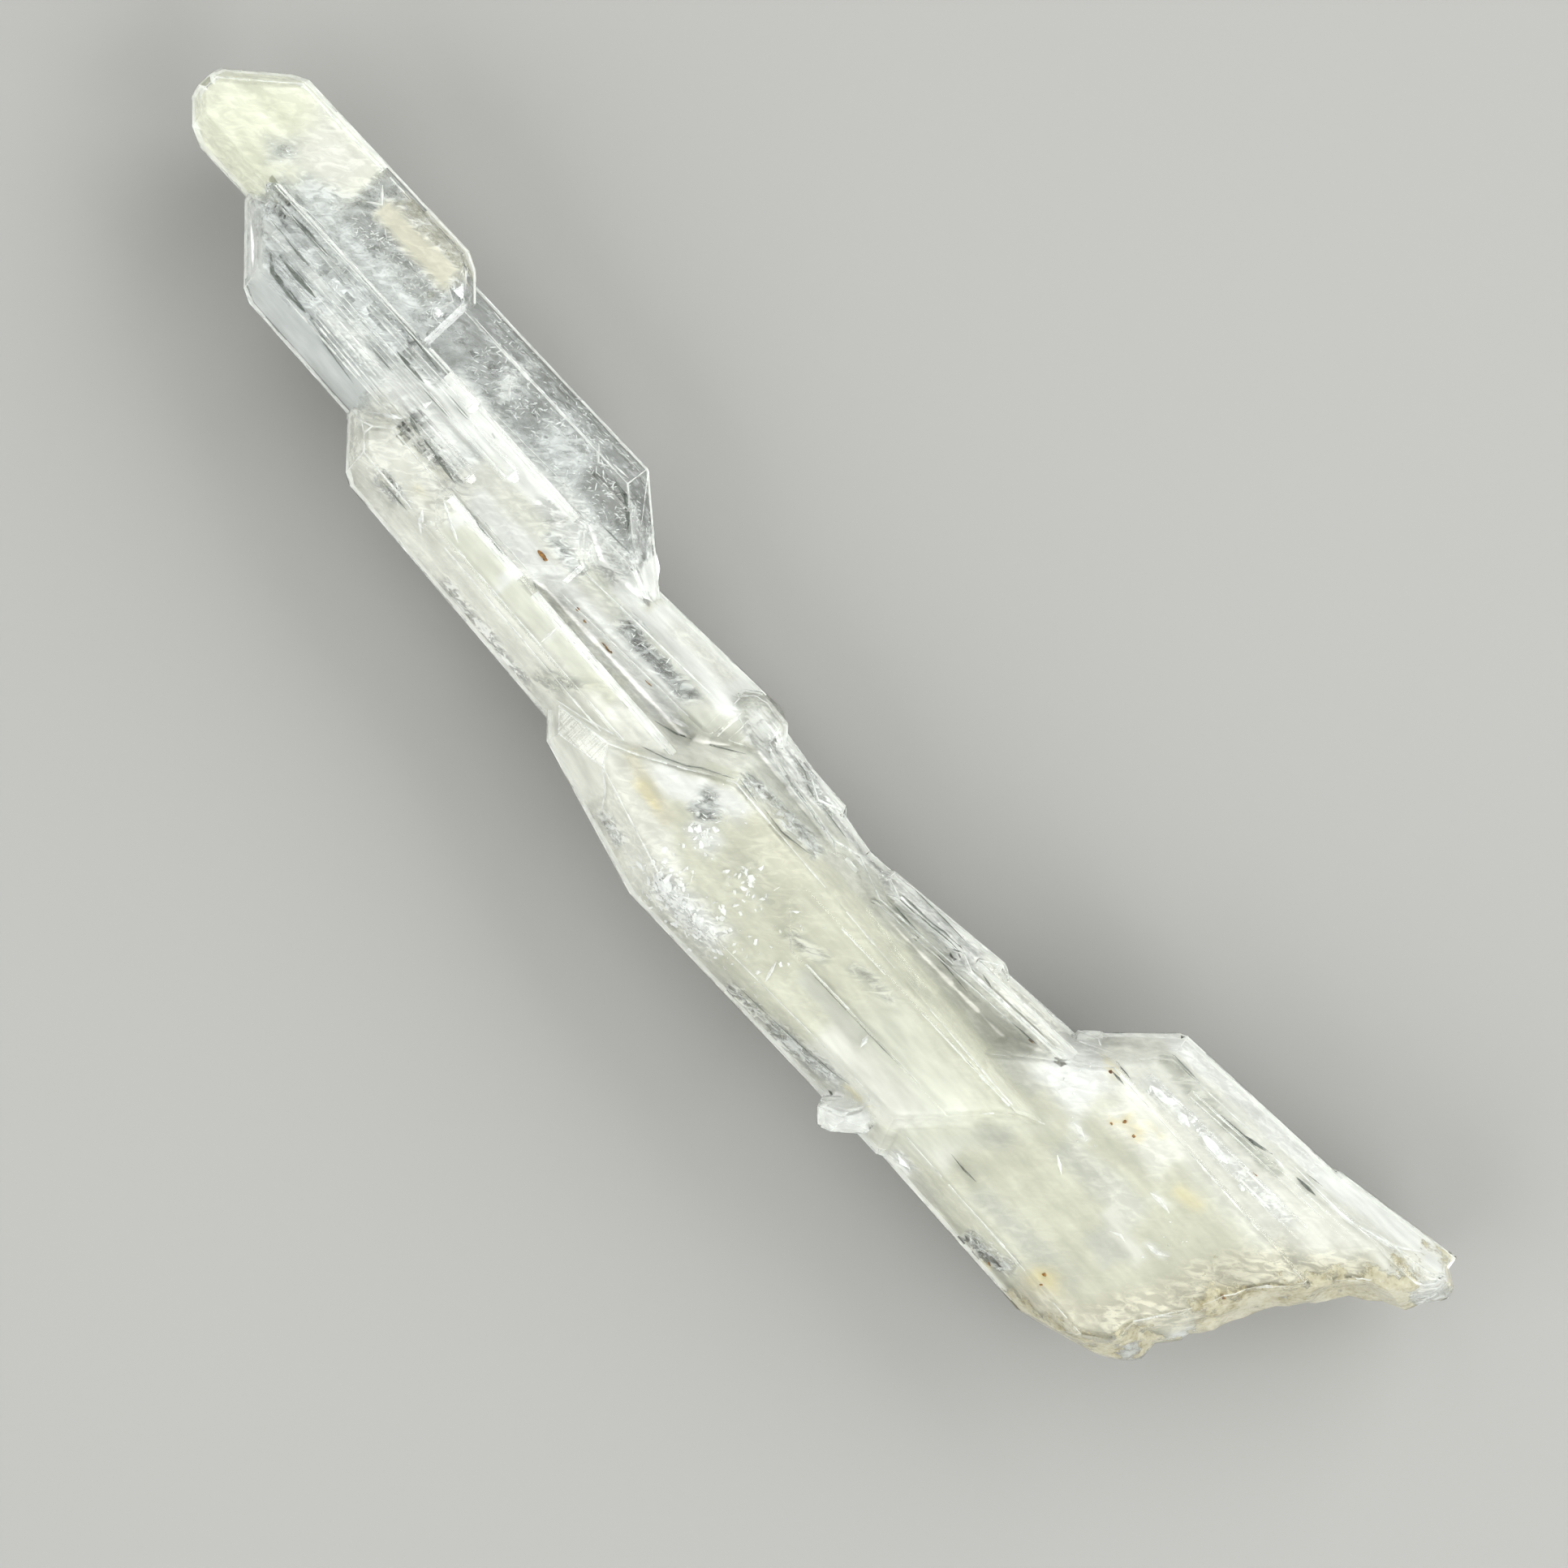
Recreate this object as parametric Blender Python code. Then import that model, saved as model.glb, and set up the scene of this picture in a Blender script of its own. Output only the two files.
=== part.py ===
"""Faden quartz: a tabular cluster of quartz crystals grown side by side and into one another.

The cluster lies on its broad side. X runs along its length, from the free tips at -X to the broken root
at +X, Y runs across it and Z is up. The origin is on the resting surface, under the middle of the cluster.
Run it with: blender --background --python part.py
"""

import math

import bmesh
import bpy
from mathutils import Matrix, Vector, noise

MM = 0.001

# Quartz's own angles, in degrees. With a broad prism face lying level, the normals of the side prism faces
# rise or fall 30 from the level, and the normal of a terminal face stands 51.8 from the long axis.
SIDE_FACE_RISE = 30.0
TERMINAL_ANGLE = 51.8

# The broken root in plan: y across the cluster against x, where the break stands furthest out.
BREAK_LINE = [
    (-6.5, 16.2), (-4.95, 16.6), (-4.8, 17.3), (-4.55, 18.1), (-4.3, 19.2), (-3.9, 19.7), (-3.4, 20.2),
    (-3.0, 20.3), (-2.8, 19.9), (-2.6, 20.3), (-1.5, 21.0), (0.5, 21.8), (1.5, 22.7), (2.3, 23.1),
    (3.0, 23.8), (3.1, 24.3), (3.9, 24.8), (4.6, 25.21), (4.85, 24.9), (4.95, 24.5), (6.5, 24.4),
]
BREAK_HEIGHT = 2.7
BREAK_LEAN = 0.62
BREAK_UNDERCUT = 0.3
BREAK_ROUGHNESS = 0.4
BREAK_CELLS = (44, 16)
BREAK_REACH = 6.0


def direction(azimuth, rise):
    """The unit vector at an azimuth from +X that rises above the level, both in degrees."""
    a, e = math.radians(azimuth), math.radians(rise)
    return Vector((math.cos(a) * math.cos(e), math.sin(a) * math.cos(e), math.sin(e)))


def terminal_normal(end, side, up, angle):
    """The outward normal of a terminal face: end is -1 or 1, side -1, 0 or 1, up -1 or 1."""
    rise = math.radians(SIDE_FACE_RISE) if side else math.pi / 2
    radial = Vector((0, side * math.cos(rise), up * math.sin(rise)))
    along = math.radians(angle)
    return Vector((end * math.cos(along), 0, 0)) + math.sin(along) * radial


def cleave(bm, point, normal):
    """Takes off what lies outside a plane, and closes the cut with one flat facet."""
    everything = bm.verts[:] + bm.edges[:] + bm.faces[:]
    cut = bmesh.ops.bisect_plane(
        bm, geom=everything, dist=1e-6, plane_co=point, plane_no=normal, clear_outer=True
    )["geom_cut"]
    rim = [part for part in cut if isinstance(part, bmesh.types.BMEdge)]
    if rim:
        bmesh.ops.edgeloop_fill(bm, edges=rim)


def cleave_end(bm, x, y_span, z, end, angle, spare):
    """Gives one end its six terminal faces.

    The four side ones meet in an end edge over y_span. The top and the bottom one stand off that edge by
    the two lengths in spare, so that they are small or missing.
    """
    for up, off in zip((1, -1), spare):
        cleave(bm, (x, y_span[0], z), terminal_normal(end, -1, up, angle))
        cleave(bm, (x, y_span[1], z), terminal_normal(end, 1, up, angle))
        cleave(bm, (x + end * off, sum(y_span) / 2, z), terminal_normal(end, 0, up, angle))


def crystal(name, x, y, z, ridges, yaw=0.0, left=None, right=None, end_height=None, spare=(0.0, 0.0),
            facets=(), angle=TERMINAL_ANGLE):
    """One crystal that lies on a broad prism face, in millimetres.

    x, y and z are its lowest and highest places and ridges the heights of its two side edges. left and
    right give where an end edge starts and stops across the crystal, or None where that end is grown into
    its neighbours. Each of facets is a further flat: a point on it, and its normal's azimuth and rise.
    """
    bm = bmesh.new()
    bmesh.ops.create_cube(bm, size=1.0)
    size = Vector((x[1] - x[0], y[1] - y[0], z[1] - z[0]))
    centre = Vector((sum(x) / 2, sum(y) / 2, sum(z) / 2))
    bmesh.ops.transform(bm, matrix=Matrix.Translation(centre) @ Matrix.Diagonal(size).to_4x4(), verts=bm.verts)
    rise = math.radians(SIDE_FACE_RISE)
    for side, edge, ridge in ((-1, y[0], ridges[0]), (1, y[1], ridges[1])):
        for up in (-1, 1):
            cleave(bm, (centre.x, edge, ridge), (0, side * math.cos(rise), up * math.sin(rise)))
    if end_height is None:
        end_height = sum(ridges) / 2
    if left:
        cleave_end(bm, x[0], left, end_height, -1, angle, spare)
    if right:
        cleave_end(bm, x[1], right, end_height, 1, angle, spare)
    turn = Matrix.Rotation(math.radians(yaw), 4, "Z")
    bmesh.ops.transform(bm, matrix=turn, space=Matrix.Translation(-centre), verts=bm.verts)
    for point, azimuth, lift in facets:
        cleave(bm, point, direction(azimuth, lift))
    return finish(bm, name)


def finish(bm, name):
    """Turns a bmesh in millimetres into a wire block in metres."""
    bmesh.ops.scale(bm, vec=(MM, MM, MM), verts=bm.verts)
    bmesh.ops.recalc_face_normals(bm, faces=bm.faces)
    mesh = bpy.data.meshes.new(name)
    bm.to_mesh(mesh)
    bm.free()
    block = bpy.data.objects.new(name, mesh)
    block.hide_render = True
    block.display_type = "WIRE"
    return block


def tip_crystals():
    """The free end: the tip crystal, the striped blade beside it and the two clear blades."""
    return [
        crystal("tip", (-25.0, -15.05), (0.7, 4.33), (1.15, 4.15), (3.0, 3.78), end_height=3.4,
                left=(1.55, 2.7), right=(1.3, 3.45), spare=(0.75, 1.5)),
        crystal("striped_blade", (-21.85, -6.6), (-1.46, 1.62), (1.5, 4.36), (2.8, 4.1), yaw=-1.4,
                left=(0.45, 0.85), right=(0.1, 0.7), end_height=3.1, spare=(0.7, 0.6)),
        crystal("clear_blade", (-18.0, -5.3), (0.7, 3.84), (1.35, 3.95), (2.6, 2.65), yaw=0.5,
                right=(1.1, 1.5), spare=(0.9, 0.5), angle=55.5),
        crystal("clear_blade_back", (-17.5, -6.1), (0.5, 3.3), (0.8, 3.5), (2.2, 2.3), yaw=2.2,
                left=(1.6, 2.2), right=(0.6, 1.6)),
    ]


def ribs(name, rows, depth, step):
    """Narrow parallel crystals that stripe a blade, each a little proud of it.

    Each row is the left and right ends, the middle across, the width of the top, its height and the yaw.
    """
    return [
        crystal(f"{name}_{number}", (start, stop), (middle - width / 2 - step, middle + width / 2 + step),
                (top - depth, top), (top - step / math.tan(math.radians(SIDE_FACE_RISE)),) * 2, yaw=yaw,
                left=(middle - 0.05, middle + 0.05), right=(middle - 0.05, middle + 0.05))
        for number, (start, stop, middle, width, top, yaw) in enumerate(rows)
    ]


def tip_ribs():
    """The stripes of the blade beside the tip."""
    rows = [
        (-21.55, -12.6, 1.38, 0.28, 4.50, -0.4),
        (-21.15, -10.4, 0.92, 0.34, 4.56, -1.0),
        (-20.55, -13.6, 0.55, 0.20, 4.48, -1.7),
        (-19.9, -11.2, 0.06, 0.26, 4.54, -2.0),
        (-18.1, -12.4, -0.36, 0.16, 4.46, -3.0),
    ]
    return ribs("tip_rib", rows, 1.2, 0.14)


def middle_crystals():
    """The shoulder crystals, the back crystals and the large crystal that lies over them."""
    end_of_main = ((10.05, -4.25, 4.6), -41.0, 30.0)
    return [
        crystal("shoulder", (-15.3, 1.0), (-3.1, -0.42), (0.45, 4.55), (2.9, 3.45), yaw=-2.7,
                left=(-1.8, -1.42), spare=(0.9, 0.6)),
        crystal("shoulder_plate", (-11.7, 1.5), (-2.1, -0.95), (2.0, 4.68), (4.4, 4.4), yaw=-2.0,
                left=(-1.5, -1.2), spare=(0.2, 0.2)),
        crystal("back", (-14.8, 0.1), (-1.4, 1.6), (0.0, 4.24), (2.6, 2.3), yaw=3.0,
                left=(0.3, 0.9), right=(0.1, 1.15), spare=(0.5, 0.4)),
        crystal("back_knob", (-1.75, 0.3), (0.8, 1.82), (1.5, 4.0), (3.3, 3.4), yaw=-4.0,
                left=(1.2, 1.45), right=(1.2, 1.4), spare=(0.3, 0.3)),
        crystal("main", (-6.6, 15.4), (-4.86, 1.4), (0.0, 5.1), (3.2, 3.3), yaw=0.5,
                facets=[
                    ((-0.2, 0.6, 3.3), 87.6, 30.0),
                    ((-0.2, 0.6, 3.3), 87.6, -30.0),
                    ((0.1, -0.45, 5.1), 121.0, 30.0),
                    ((-2.4, -1.95, 5.1), 260.5, 76.0),
                    ((-3.1, -2.5, 4.95), 227.0, 52.0),
                    ((-4.5, -3.66, 3.2), 255.6, 34.0),
                    ((-4.5, -3.66, 3.2), 255.6, -30.0),
                    ((-5.0, -3.18, 3.2), 226.0, 30.0),
                    ((-5.0, -3.18, 3.2), 226.0, -34.0),
                    end_of_main,
                ]),
        crystal("main_plate", (3.4, 14.0), (-2.62, -0.95), (3.0, 5.2), (5.02, 5.02), yaw=0.4,
                left=(-1.5, -1.2), facets=[end_of_main]),
    ]


def edge_slivers():
    """The thin slanted crystals along the waist of the back edge."""
    return [
        crystal("sliver_fore", (-1.6, 4.9), (-0.2, 1.37), (0.9, 4.0), (2.3, 2.6), yaw=-8.0,
                left=(0.6, 1.0), right=(0.2, 0.7)),
        crystal("sliver_short", (0.9, 3.2), (0.2, 1.42), (1.5, 3.6), (2.5, 2.6), yaw=-2.0,
                left=(0.6, 1.1), right=(0.4, 1.0)),
        crystal("sliver_long", (3.2, 15.0), (-0.6, 1.48), (0.5, 4.05), (2.2, 2.6), yaw=5.4,
                left=(0.4, 0.9)),
        crystal("sliver_step", (4.4, 9.65), (0.2, 1.38), (1.6, 4.25), (2.8, 3.1), yaw=7.2,
                left=(0.5, 0.8), right=(0.7, 1.1)),
        crystal("sliver_top", (7.6, 13.2), (0.3, 1.3), (2.2, 4.45), (3.5, 3.8), yaw=4.4,
                left=(0.6, 0.9), right=(0.6, 0.9)),
    ]


def root_crystals():
    """The broad root: the block that the cluster broke off at, and the blades that fan out beside it."""
    return [
        crystal("root_block", (6.9, 27.0), (-4.9, 2.9), (0.0, 4.5), (2.9, 2.6), yaw=-1.5,
                left=(-4.2, -3.0)),
        crystal("root_blade", (12.15, 27.0), (0.4, 4.48), (0.45, 4.3), (2.6, 2.9), yaw=4.4,
                left=(1.9, 2.5), spare=(0.6, 0.6)),
        crystal("root_fan", (18.3, 29.0), (1.2, 5.25), (0.9, 4.12), (2.4, 2.7), yaw=10.6,
                left=(2.8, 3.4)),
    ]


def root_ribs():
    """The long growth lines on the blades of the root."""
    rows = [
        (14.0, 20.8, 2.45, 0.34, 4.42, 2.6),
        (15.2, 21.8, 3.22, 0.18, 4.38, 4.8),
    ]
    return ribs("root_rib", rows, 1.2, 0.12)


def lumps():
    """The small crystals that stick on the edges."""
    return [
        crystal("edge_lump", (8.3, 9.95), (-5.42, -3.8), (2.2, 5.0), (3.7, 4.4), yaw=4.0,
                left=(-5.2, -4.7), right=(-4.7, -4.3), spare=(0.3, 0.3),
                facets=[((9.35, -5.25, 3.8), -50.0, 24.0), ((8.55, -5.0, 3.8), 208.0, -15.0)]),
        crystal("corner_lump", (12.0, 13.6), (1.3, 2.36), (1.9, 3.9), (2.9, 3.0), yaw=2.0,
                left=(1.6, 1.9), right=(1.7, 2.1)),
    ]


def break_x(y, z):
    """How far out the broken root stands at a place on it: steps, chips and a lean from its boldest height."""
    for (y0, x0), (y1, x1) in zip(BREAK_LINE, BREAK_LINE[1:]):
        if y0 <= y <= y1:
            out = x0 + (x1 - x0) * (y - y0) / (y1 - y0)
    coarse = noise.noise(Vector((y * 0.6, z * 0.9, 3.1)))
    fine = noise.noise(Vector((y * 2.1, z * 1.7, 7.7)))
    chips = max(0.0, round(coarse * 6.0) / 6.0 + 0.5 * fine + 0.2)
    lean = BREAK_LEAN * max(0.0, z - BREAK_HEIGHT) + BREAK_UNDERCUT * max(0.0, BREAK_HEIGHT - z)
    return out - lean - BREAK_ROUGHNESS * chips


def root_waste():
    """What broke away beyond the root: a block whose near side is the uneven break."""
    bm = bmesh.new()
    across, up = BREAK_CELLS
    bmesh.ops.create_grid(bm, x_segments=across, y_segments=up, size=0.5)
    low, high = BREAK_LINE[0][0], BREAK_LINE[-1][0]
    for vert in bm.verts:
        y = low + (vert.co.x + 0.5) * (high - low)
        z = -0.4 + (vert.co.y + 0.5) * BREAK_REACH
        vert.co = Vector((break_x(y, z), y, z))
    bmesh.ops.triangulate(bm, faces=bm.faces)
    face = [part for part in bm.verts[:] + bm.edges[:] + bm.faces[:]]
    grown = bmesh.ops.extrude_face_region(bm, geom=face)["geom"]
    for vert in grown:
        if isinstance(vert, bmesh.types.BMVert):
            vert.co.x = 32.0
    return finish(bm, "root_waste")


def joined(blocks, waste, name):
    """One closed solid: a live union over a collection of blocks, less what broke away."""
    helpers = bpy.data.collections.new("grown_together")
    bpy.context.scene.collection.children.link(helpers)
    helpers.hide_render = True
    for block in blocks[1:]:
        helpers.objects.link(block)
    spoil = bpy.data.collections.new("broken_away")
    bpy.context.scene.collection.children.link(spoil)
    spoil.hide_render = True
    spoil.objects.link(waste)
    body = bpy.data.objects.new(name, blocks[0].data)
    union = body.modifiers.new("grown together", "BOOLEAN")
    union.operation = "UNION"
    union.solver = "EXACT"
    union.operand_type = "COLLECTION"
    union.collection = helpers
    cut = body.modifiers.new("broken root", "BOOLEAN")
    cut.operation = "DIFFERENCE"
    cut.solver = "EXACT"
    cut.object = waste
    return body


def quartz():
    """Clear to milky quartz."""
    material = bpy.data.materials.new("quartz")
    material.use_nodes = True
    shader = material.node_tree.nodes["Principled BSDF"]
    shader.inputs["Base Color"].default_value = (0.86, 0.89, 0.84, 1.0)
    shader.inputs["Roughness"].default_value = 0.08
    shader.inputs["IOR"].default_value = 1.544
    shader.inputs["Transmission Weight"].default_value = 1.0
    return material


def build():
    """Makes the cluster as one object, with the blocks it is joined from kept beside it."""
    for old in list(bpy.data.objects):
        bpy.data.objects.remove(old)
    specimen = bpy.data.collections.new("faden_quartz")
    bpy.context.scene.collection.children.link(specimen)
    blocks = middle_crystals() + edge_slivers() + tip_crystals() + tip_ribs()
    blocks += root_crystals() + root_ribs() + lumps()
    body = joined(blocks, root_waste(), "quartz_cluster")
    body.data.materials.append(quartz())
    specimen.objects.link(body)


build()
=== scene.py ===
import math
import random

import bmesh
import bpy
from mathutils import Matrix, Vector, noise
from mathutils.bvhtree import BVHTree


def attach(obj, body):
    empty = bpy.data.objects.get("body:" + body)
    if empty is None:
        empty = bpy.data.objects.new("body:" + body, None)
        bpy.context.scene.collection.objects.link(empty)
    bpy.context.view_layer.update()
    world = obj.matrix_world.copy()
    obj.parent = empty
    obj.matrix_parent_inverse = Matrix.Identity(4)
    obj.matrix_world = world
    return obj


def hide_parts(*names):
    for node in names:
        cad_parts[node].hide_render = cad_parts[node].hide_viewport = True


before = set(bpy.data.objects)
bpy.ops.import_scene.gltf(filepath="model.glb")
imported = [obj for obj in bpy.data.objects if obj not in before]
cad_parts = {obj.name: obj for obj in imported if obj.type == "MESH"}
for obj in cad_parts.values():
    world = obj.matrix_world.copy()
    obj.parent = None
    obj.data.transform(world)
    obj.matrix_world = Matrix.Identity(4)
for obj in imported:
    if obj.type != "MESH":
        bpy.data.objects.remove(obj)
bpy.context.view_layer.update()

# The crystals are one solid of clear quartz: broad flat prism faces, sloping tips and a broken root.
# They grew into one another and need no fixing. The faces are natural: lined across the length where
# growth stepped, and lined along it where blades lie side by side.
MM = 0.001
# In the CAD triangles, points this close are one, shorter edges are crumbs, and flatter turns no edge.
SAME_POINT = 0.001 * MM
CRUMB = 0.03 * MM
FLAT_TURN = math.radians(0.5)
QUARTZ_IOR = 1.544
QUARTZ_TINT = "#f7fbf9"
# Growth lines are about 0.02 mm apart, and so is the break's grit: too fine to show, so all are drawn
# coarser. The spacings are mm along x, y and z.
STEP_SPACING = (0.22, 3.5, 3.5)
BLADE_SPACING = (9.0, 0.16, 0.4)
GRIT_SIZE = 0.3
GRIT_SHARE = 2.5
RELIEF = 0.02
# The broken end lies beyond a slanting line: the mm along this direction where it begins and is full.
OUTWARD = (1.0, -0.94, 0.0)
BREAK_STARTS, BREAK_FULL = 20.8, 22.8
GLOSSY, GRITTY = 0.03, 0.18


def linear(hex_colour):
    """An sRGB hex colour as linear RGBA."""
    parts = [int(hex_colour[i:i + 2], 16) / 255 for i in (1, 3, 5)]
    return [c / 12.92 if c <= 0.04045 else ((c + 0.055) / 1.055) ** 2.4 for c in parts] + [1.0]


def add_node(tree, kind, settings=None, links=None):
    """Adds a node with its settings (attributes or input values) and its incoming links."""
    made = tree.nodes.new(kind)
    for name, value in (settings or {}).items():
        if isinstance(name, int) or name in made.inputs:
            made.inputs[name].default_value = value
        else:
            setattr(made, name, value)
    for name, source in (links or {}).items():
        tree.links.new(source, made.inputs[name])
    return made


def new_material(name):
    material = bpy.data.materials.new(name)
    material.use_nodes = True
    tree = material.node_tree
    tree.nodes.clear()
    return material, tree, tree.nodes.new("ShaderNodeOutputMaterial")


def faceted_copy(node):
    """The CAD node's loose triangles, merged and rejoined into its flat facets."""
    bm = bmesh.new()
    bm.from_mesh(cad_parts[node].data)
    bmesh.ops.remove_doubles(bm, verts=bm.verts, dist=SAME_POINT)
    bmesh.ops.dissolve_degenerate(bm, dist=CRUMB, edges=bm.edges)
    bmesh.ops.dissolve_limit(bm, angle_limit=FLAT_TURN, verts=bm.verts, edges=bm.edges)
    return bm


def pour(batch, bm):
    """Adds a small finished bmesh to a piece's whole one, because operators slow down as a bmesh grows."""
    mesh = bpy.data.meshes.new("batch")
    batch.to_mesh(mesh)
    batch.free()
    bm.from_mesh(mesh)
    bpy.data.meshes.remove(mesh)


def keep(bm, name, material, node=None, smooth=False):
    """Turns a finished bmesh into a piece that rides on the cluster."""
    mesh = bpy.data.meshes.new(name)
    for face in bm.faces:
        face.smooth = smooth
    bm.to_mesh(mesh)
    bm.free()
    mesh.materials.append(material)
    piece = bpy.data.objects.new(name, mesh)
    bpy.context.scene.collection.objects.link(piece)
    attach(piece, "root")
    if node:
        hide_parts(node)
    return piece


skin = faceted_copy("quartz_cluster")
bmesh.ops.triangulate(skin, faces=skin.faces)
skin_tree = BVHTree.FromBMesh(skin)

# Clear rock crystal as it grew: it gives a see-through body, a glassy gloss broken up by growth lines,
# and a duller, gritty face where it broke.
clear_quartz, tree, out = new_material("clear_quartz")
place = add_node(tree, "ShaderNodeTexCoord")
across = add_node(tree, "ShaderNodeMapping", {"Scale": [1 / (gap * MM) for gap in STEP_SPACING]},
                  {"Vector": place.outputs["Object"]})
growth_steps = add_node(tree, "ShaderNodeTexNoise", {"Scale": 1.0, "Detail": 3.0, "Roughness": 0.55},
                        {"Vector": across.outputs["Vector"]})
along = add_node(tree, "ShaderNodeMapping", {"Scale": [1 / (gap * MM) for gap in BLADE_SPACING]},
                 {"Vector": place.outputs["Object"]})
blade_lines = add_node(tree, "ShaderNodeTexNoise", {"Scale": 1.0, "Detail": 2.0, "Roughness": 0.5},
                       {"Vector": along.outputs["Vector"]})
lines = add_node(tree, "ShaderNodeMath", {"operation": "ADD"},
                 {0: growth_steps.outputs[0], 1: blade_lines.outputs[0]})
outward = add_node(tree, "ShaderNodeVectorMath", {"operation": "DOT_PRODUCT", 1: OUTWARD},
                   {0: place.outputs["Object"]})
broken = add_node(tree, "ShaderNodeMapRange", {"From Min": BREAK_STARTS * MM, "From Max": BREAK_FULL * MM},
                  {"Value": outward.outputs["Value"]})
grit = add_node(tree, "ShaderNodeTexNoise", {"Scale": 1 / (GRIT_SIZE * MM), "Detail": 4.0},
                {"Vector": place.outputs["Object"]})
broken_grit = add_node(tree, "ShaderNodeMath", {"operation": "MULTIPLY"},
                       {0: grit.outputs[0], 1: broken.outputs[0]})
uneven = add_node(tree, "ShaderNodeMath", {"operation": "MULTIPLY_ADD", 1: GRIT_SHARE},
                  {0: broken_grit.outputs[0], 2: lines.outputs[0]})
relief = add_node(tree, "ShaderNodeBump", {"Strength": 0.5, "Distance": RELIEF * MM},
                  {"Height": uneven.outputs[0]})
dullness = add_node(tree, "ShaderNodeMapRange", {"To Min": GLOSSY, "To Max": GRITTY},
                    {"Value": broken.outputs[0]})
glass = add_node(tree, "ShaderNodeBsdfPrincipled", {
    "Base Color": linear(QUARTZ_TINT), "IOR": QUARTZ_IOR, "Transmission Weight": 1.0},
    {"Normal": relief.outputs["Normal"], "Roughness": dullness.outputs[0]})
tree.links.new(glass.outputs["BSDF"], out.inputs["Surface"])
crystals = keep(skin, "crystals", clear_quartz, node="quartz_cluster")

# The milk is fluid and gas sealed in as the crystals grew: clouds of bubbles too fine to see, thick
# in the middle of each crystal and thin in the clear windows. Nested shells that follow the faces
# at several depths stand for them, each as solid as the cloud it crosses.
# Each shell's depth under the faces and the size of its mesh, in mm.
SHELL_DEPTHS = (0.22, 0.55, 1.0, 1.55)
SHELL_CELLS = (0.18, 0.2, 0.22, 0.24)
# A cloud's solidness is 1 - exp(-strength * milk ** curve), and what is thinner than FAINTEST is left out.
CLOUD_STRENGTH, CLOUD_CURVE = 1.7, 1.5
FAINTEST = 0.03
# Milk, mottling and lining where no zone reaches.
BETWEEN_ZONES = (0.7, 0.08, 0.1)
WHITE, IVORY, AIR = "#fefefb", "#fcfceb", "#f7f9f8"
CREAM, PALE, GREY, BEIGE = "#fbfaf2", "#e8e7d7", "#e9e9df", "#eae6d5"
STAIN, BODY = "#f3e6b4", "#eeeee1"

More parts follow.
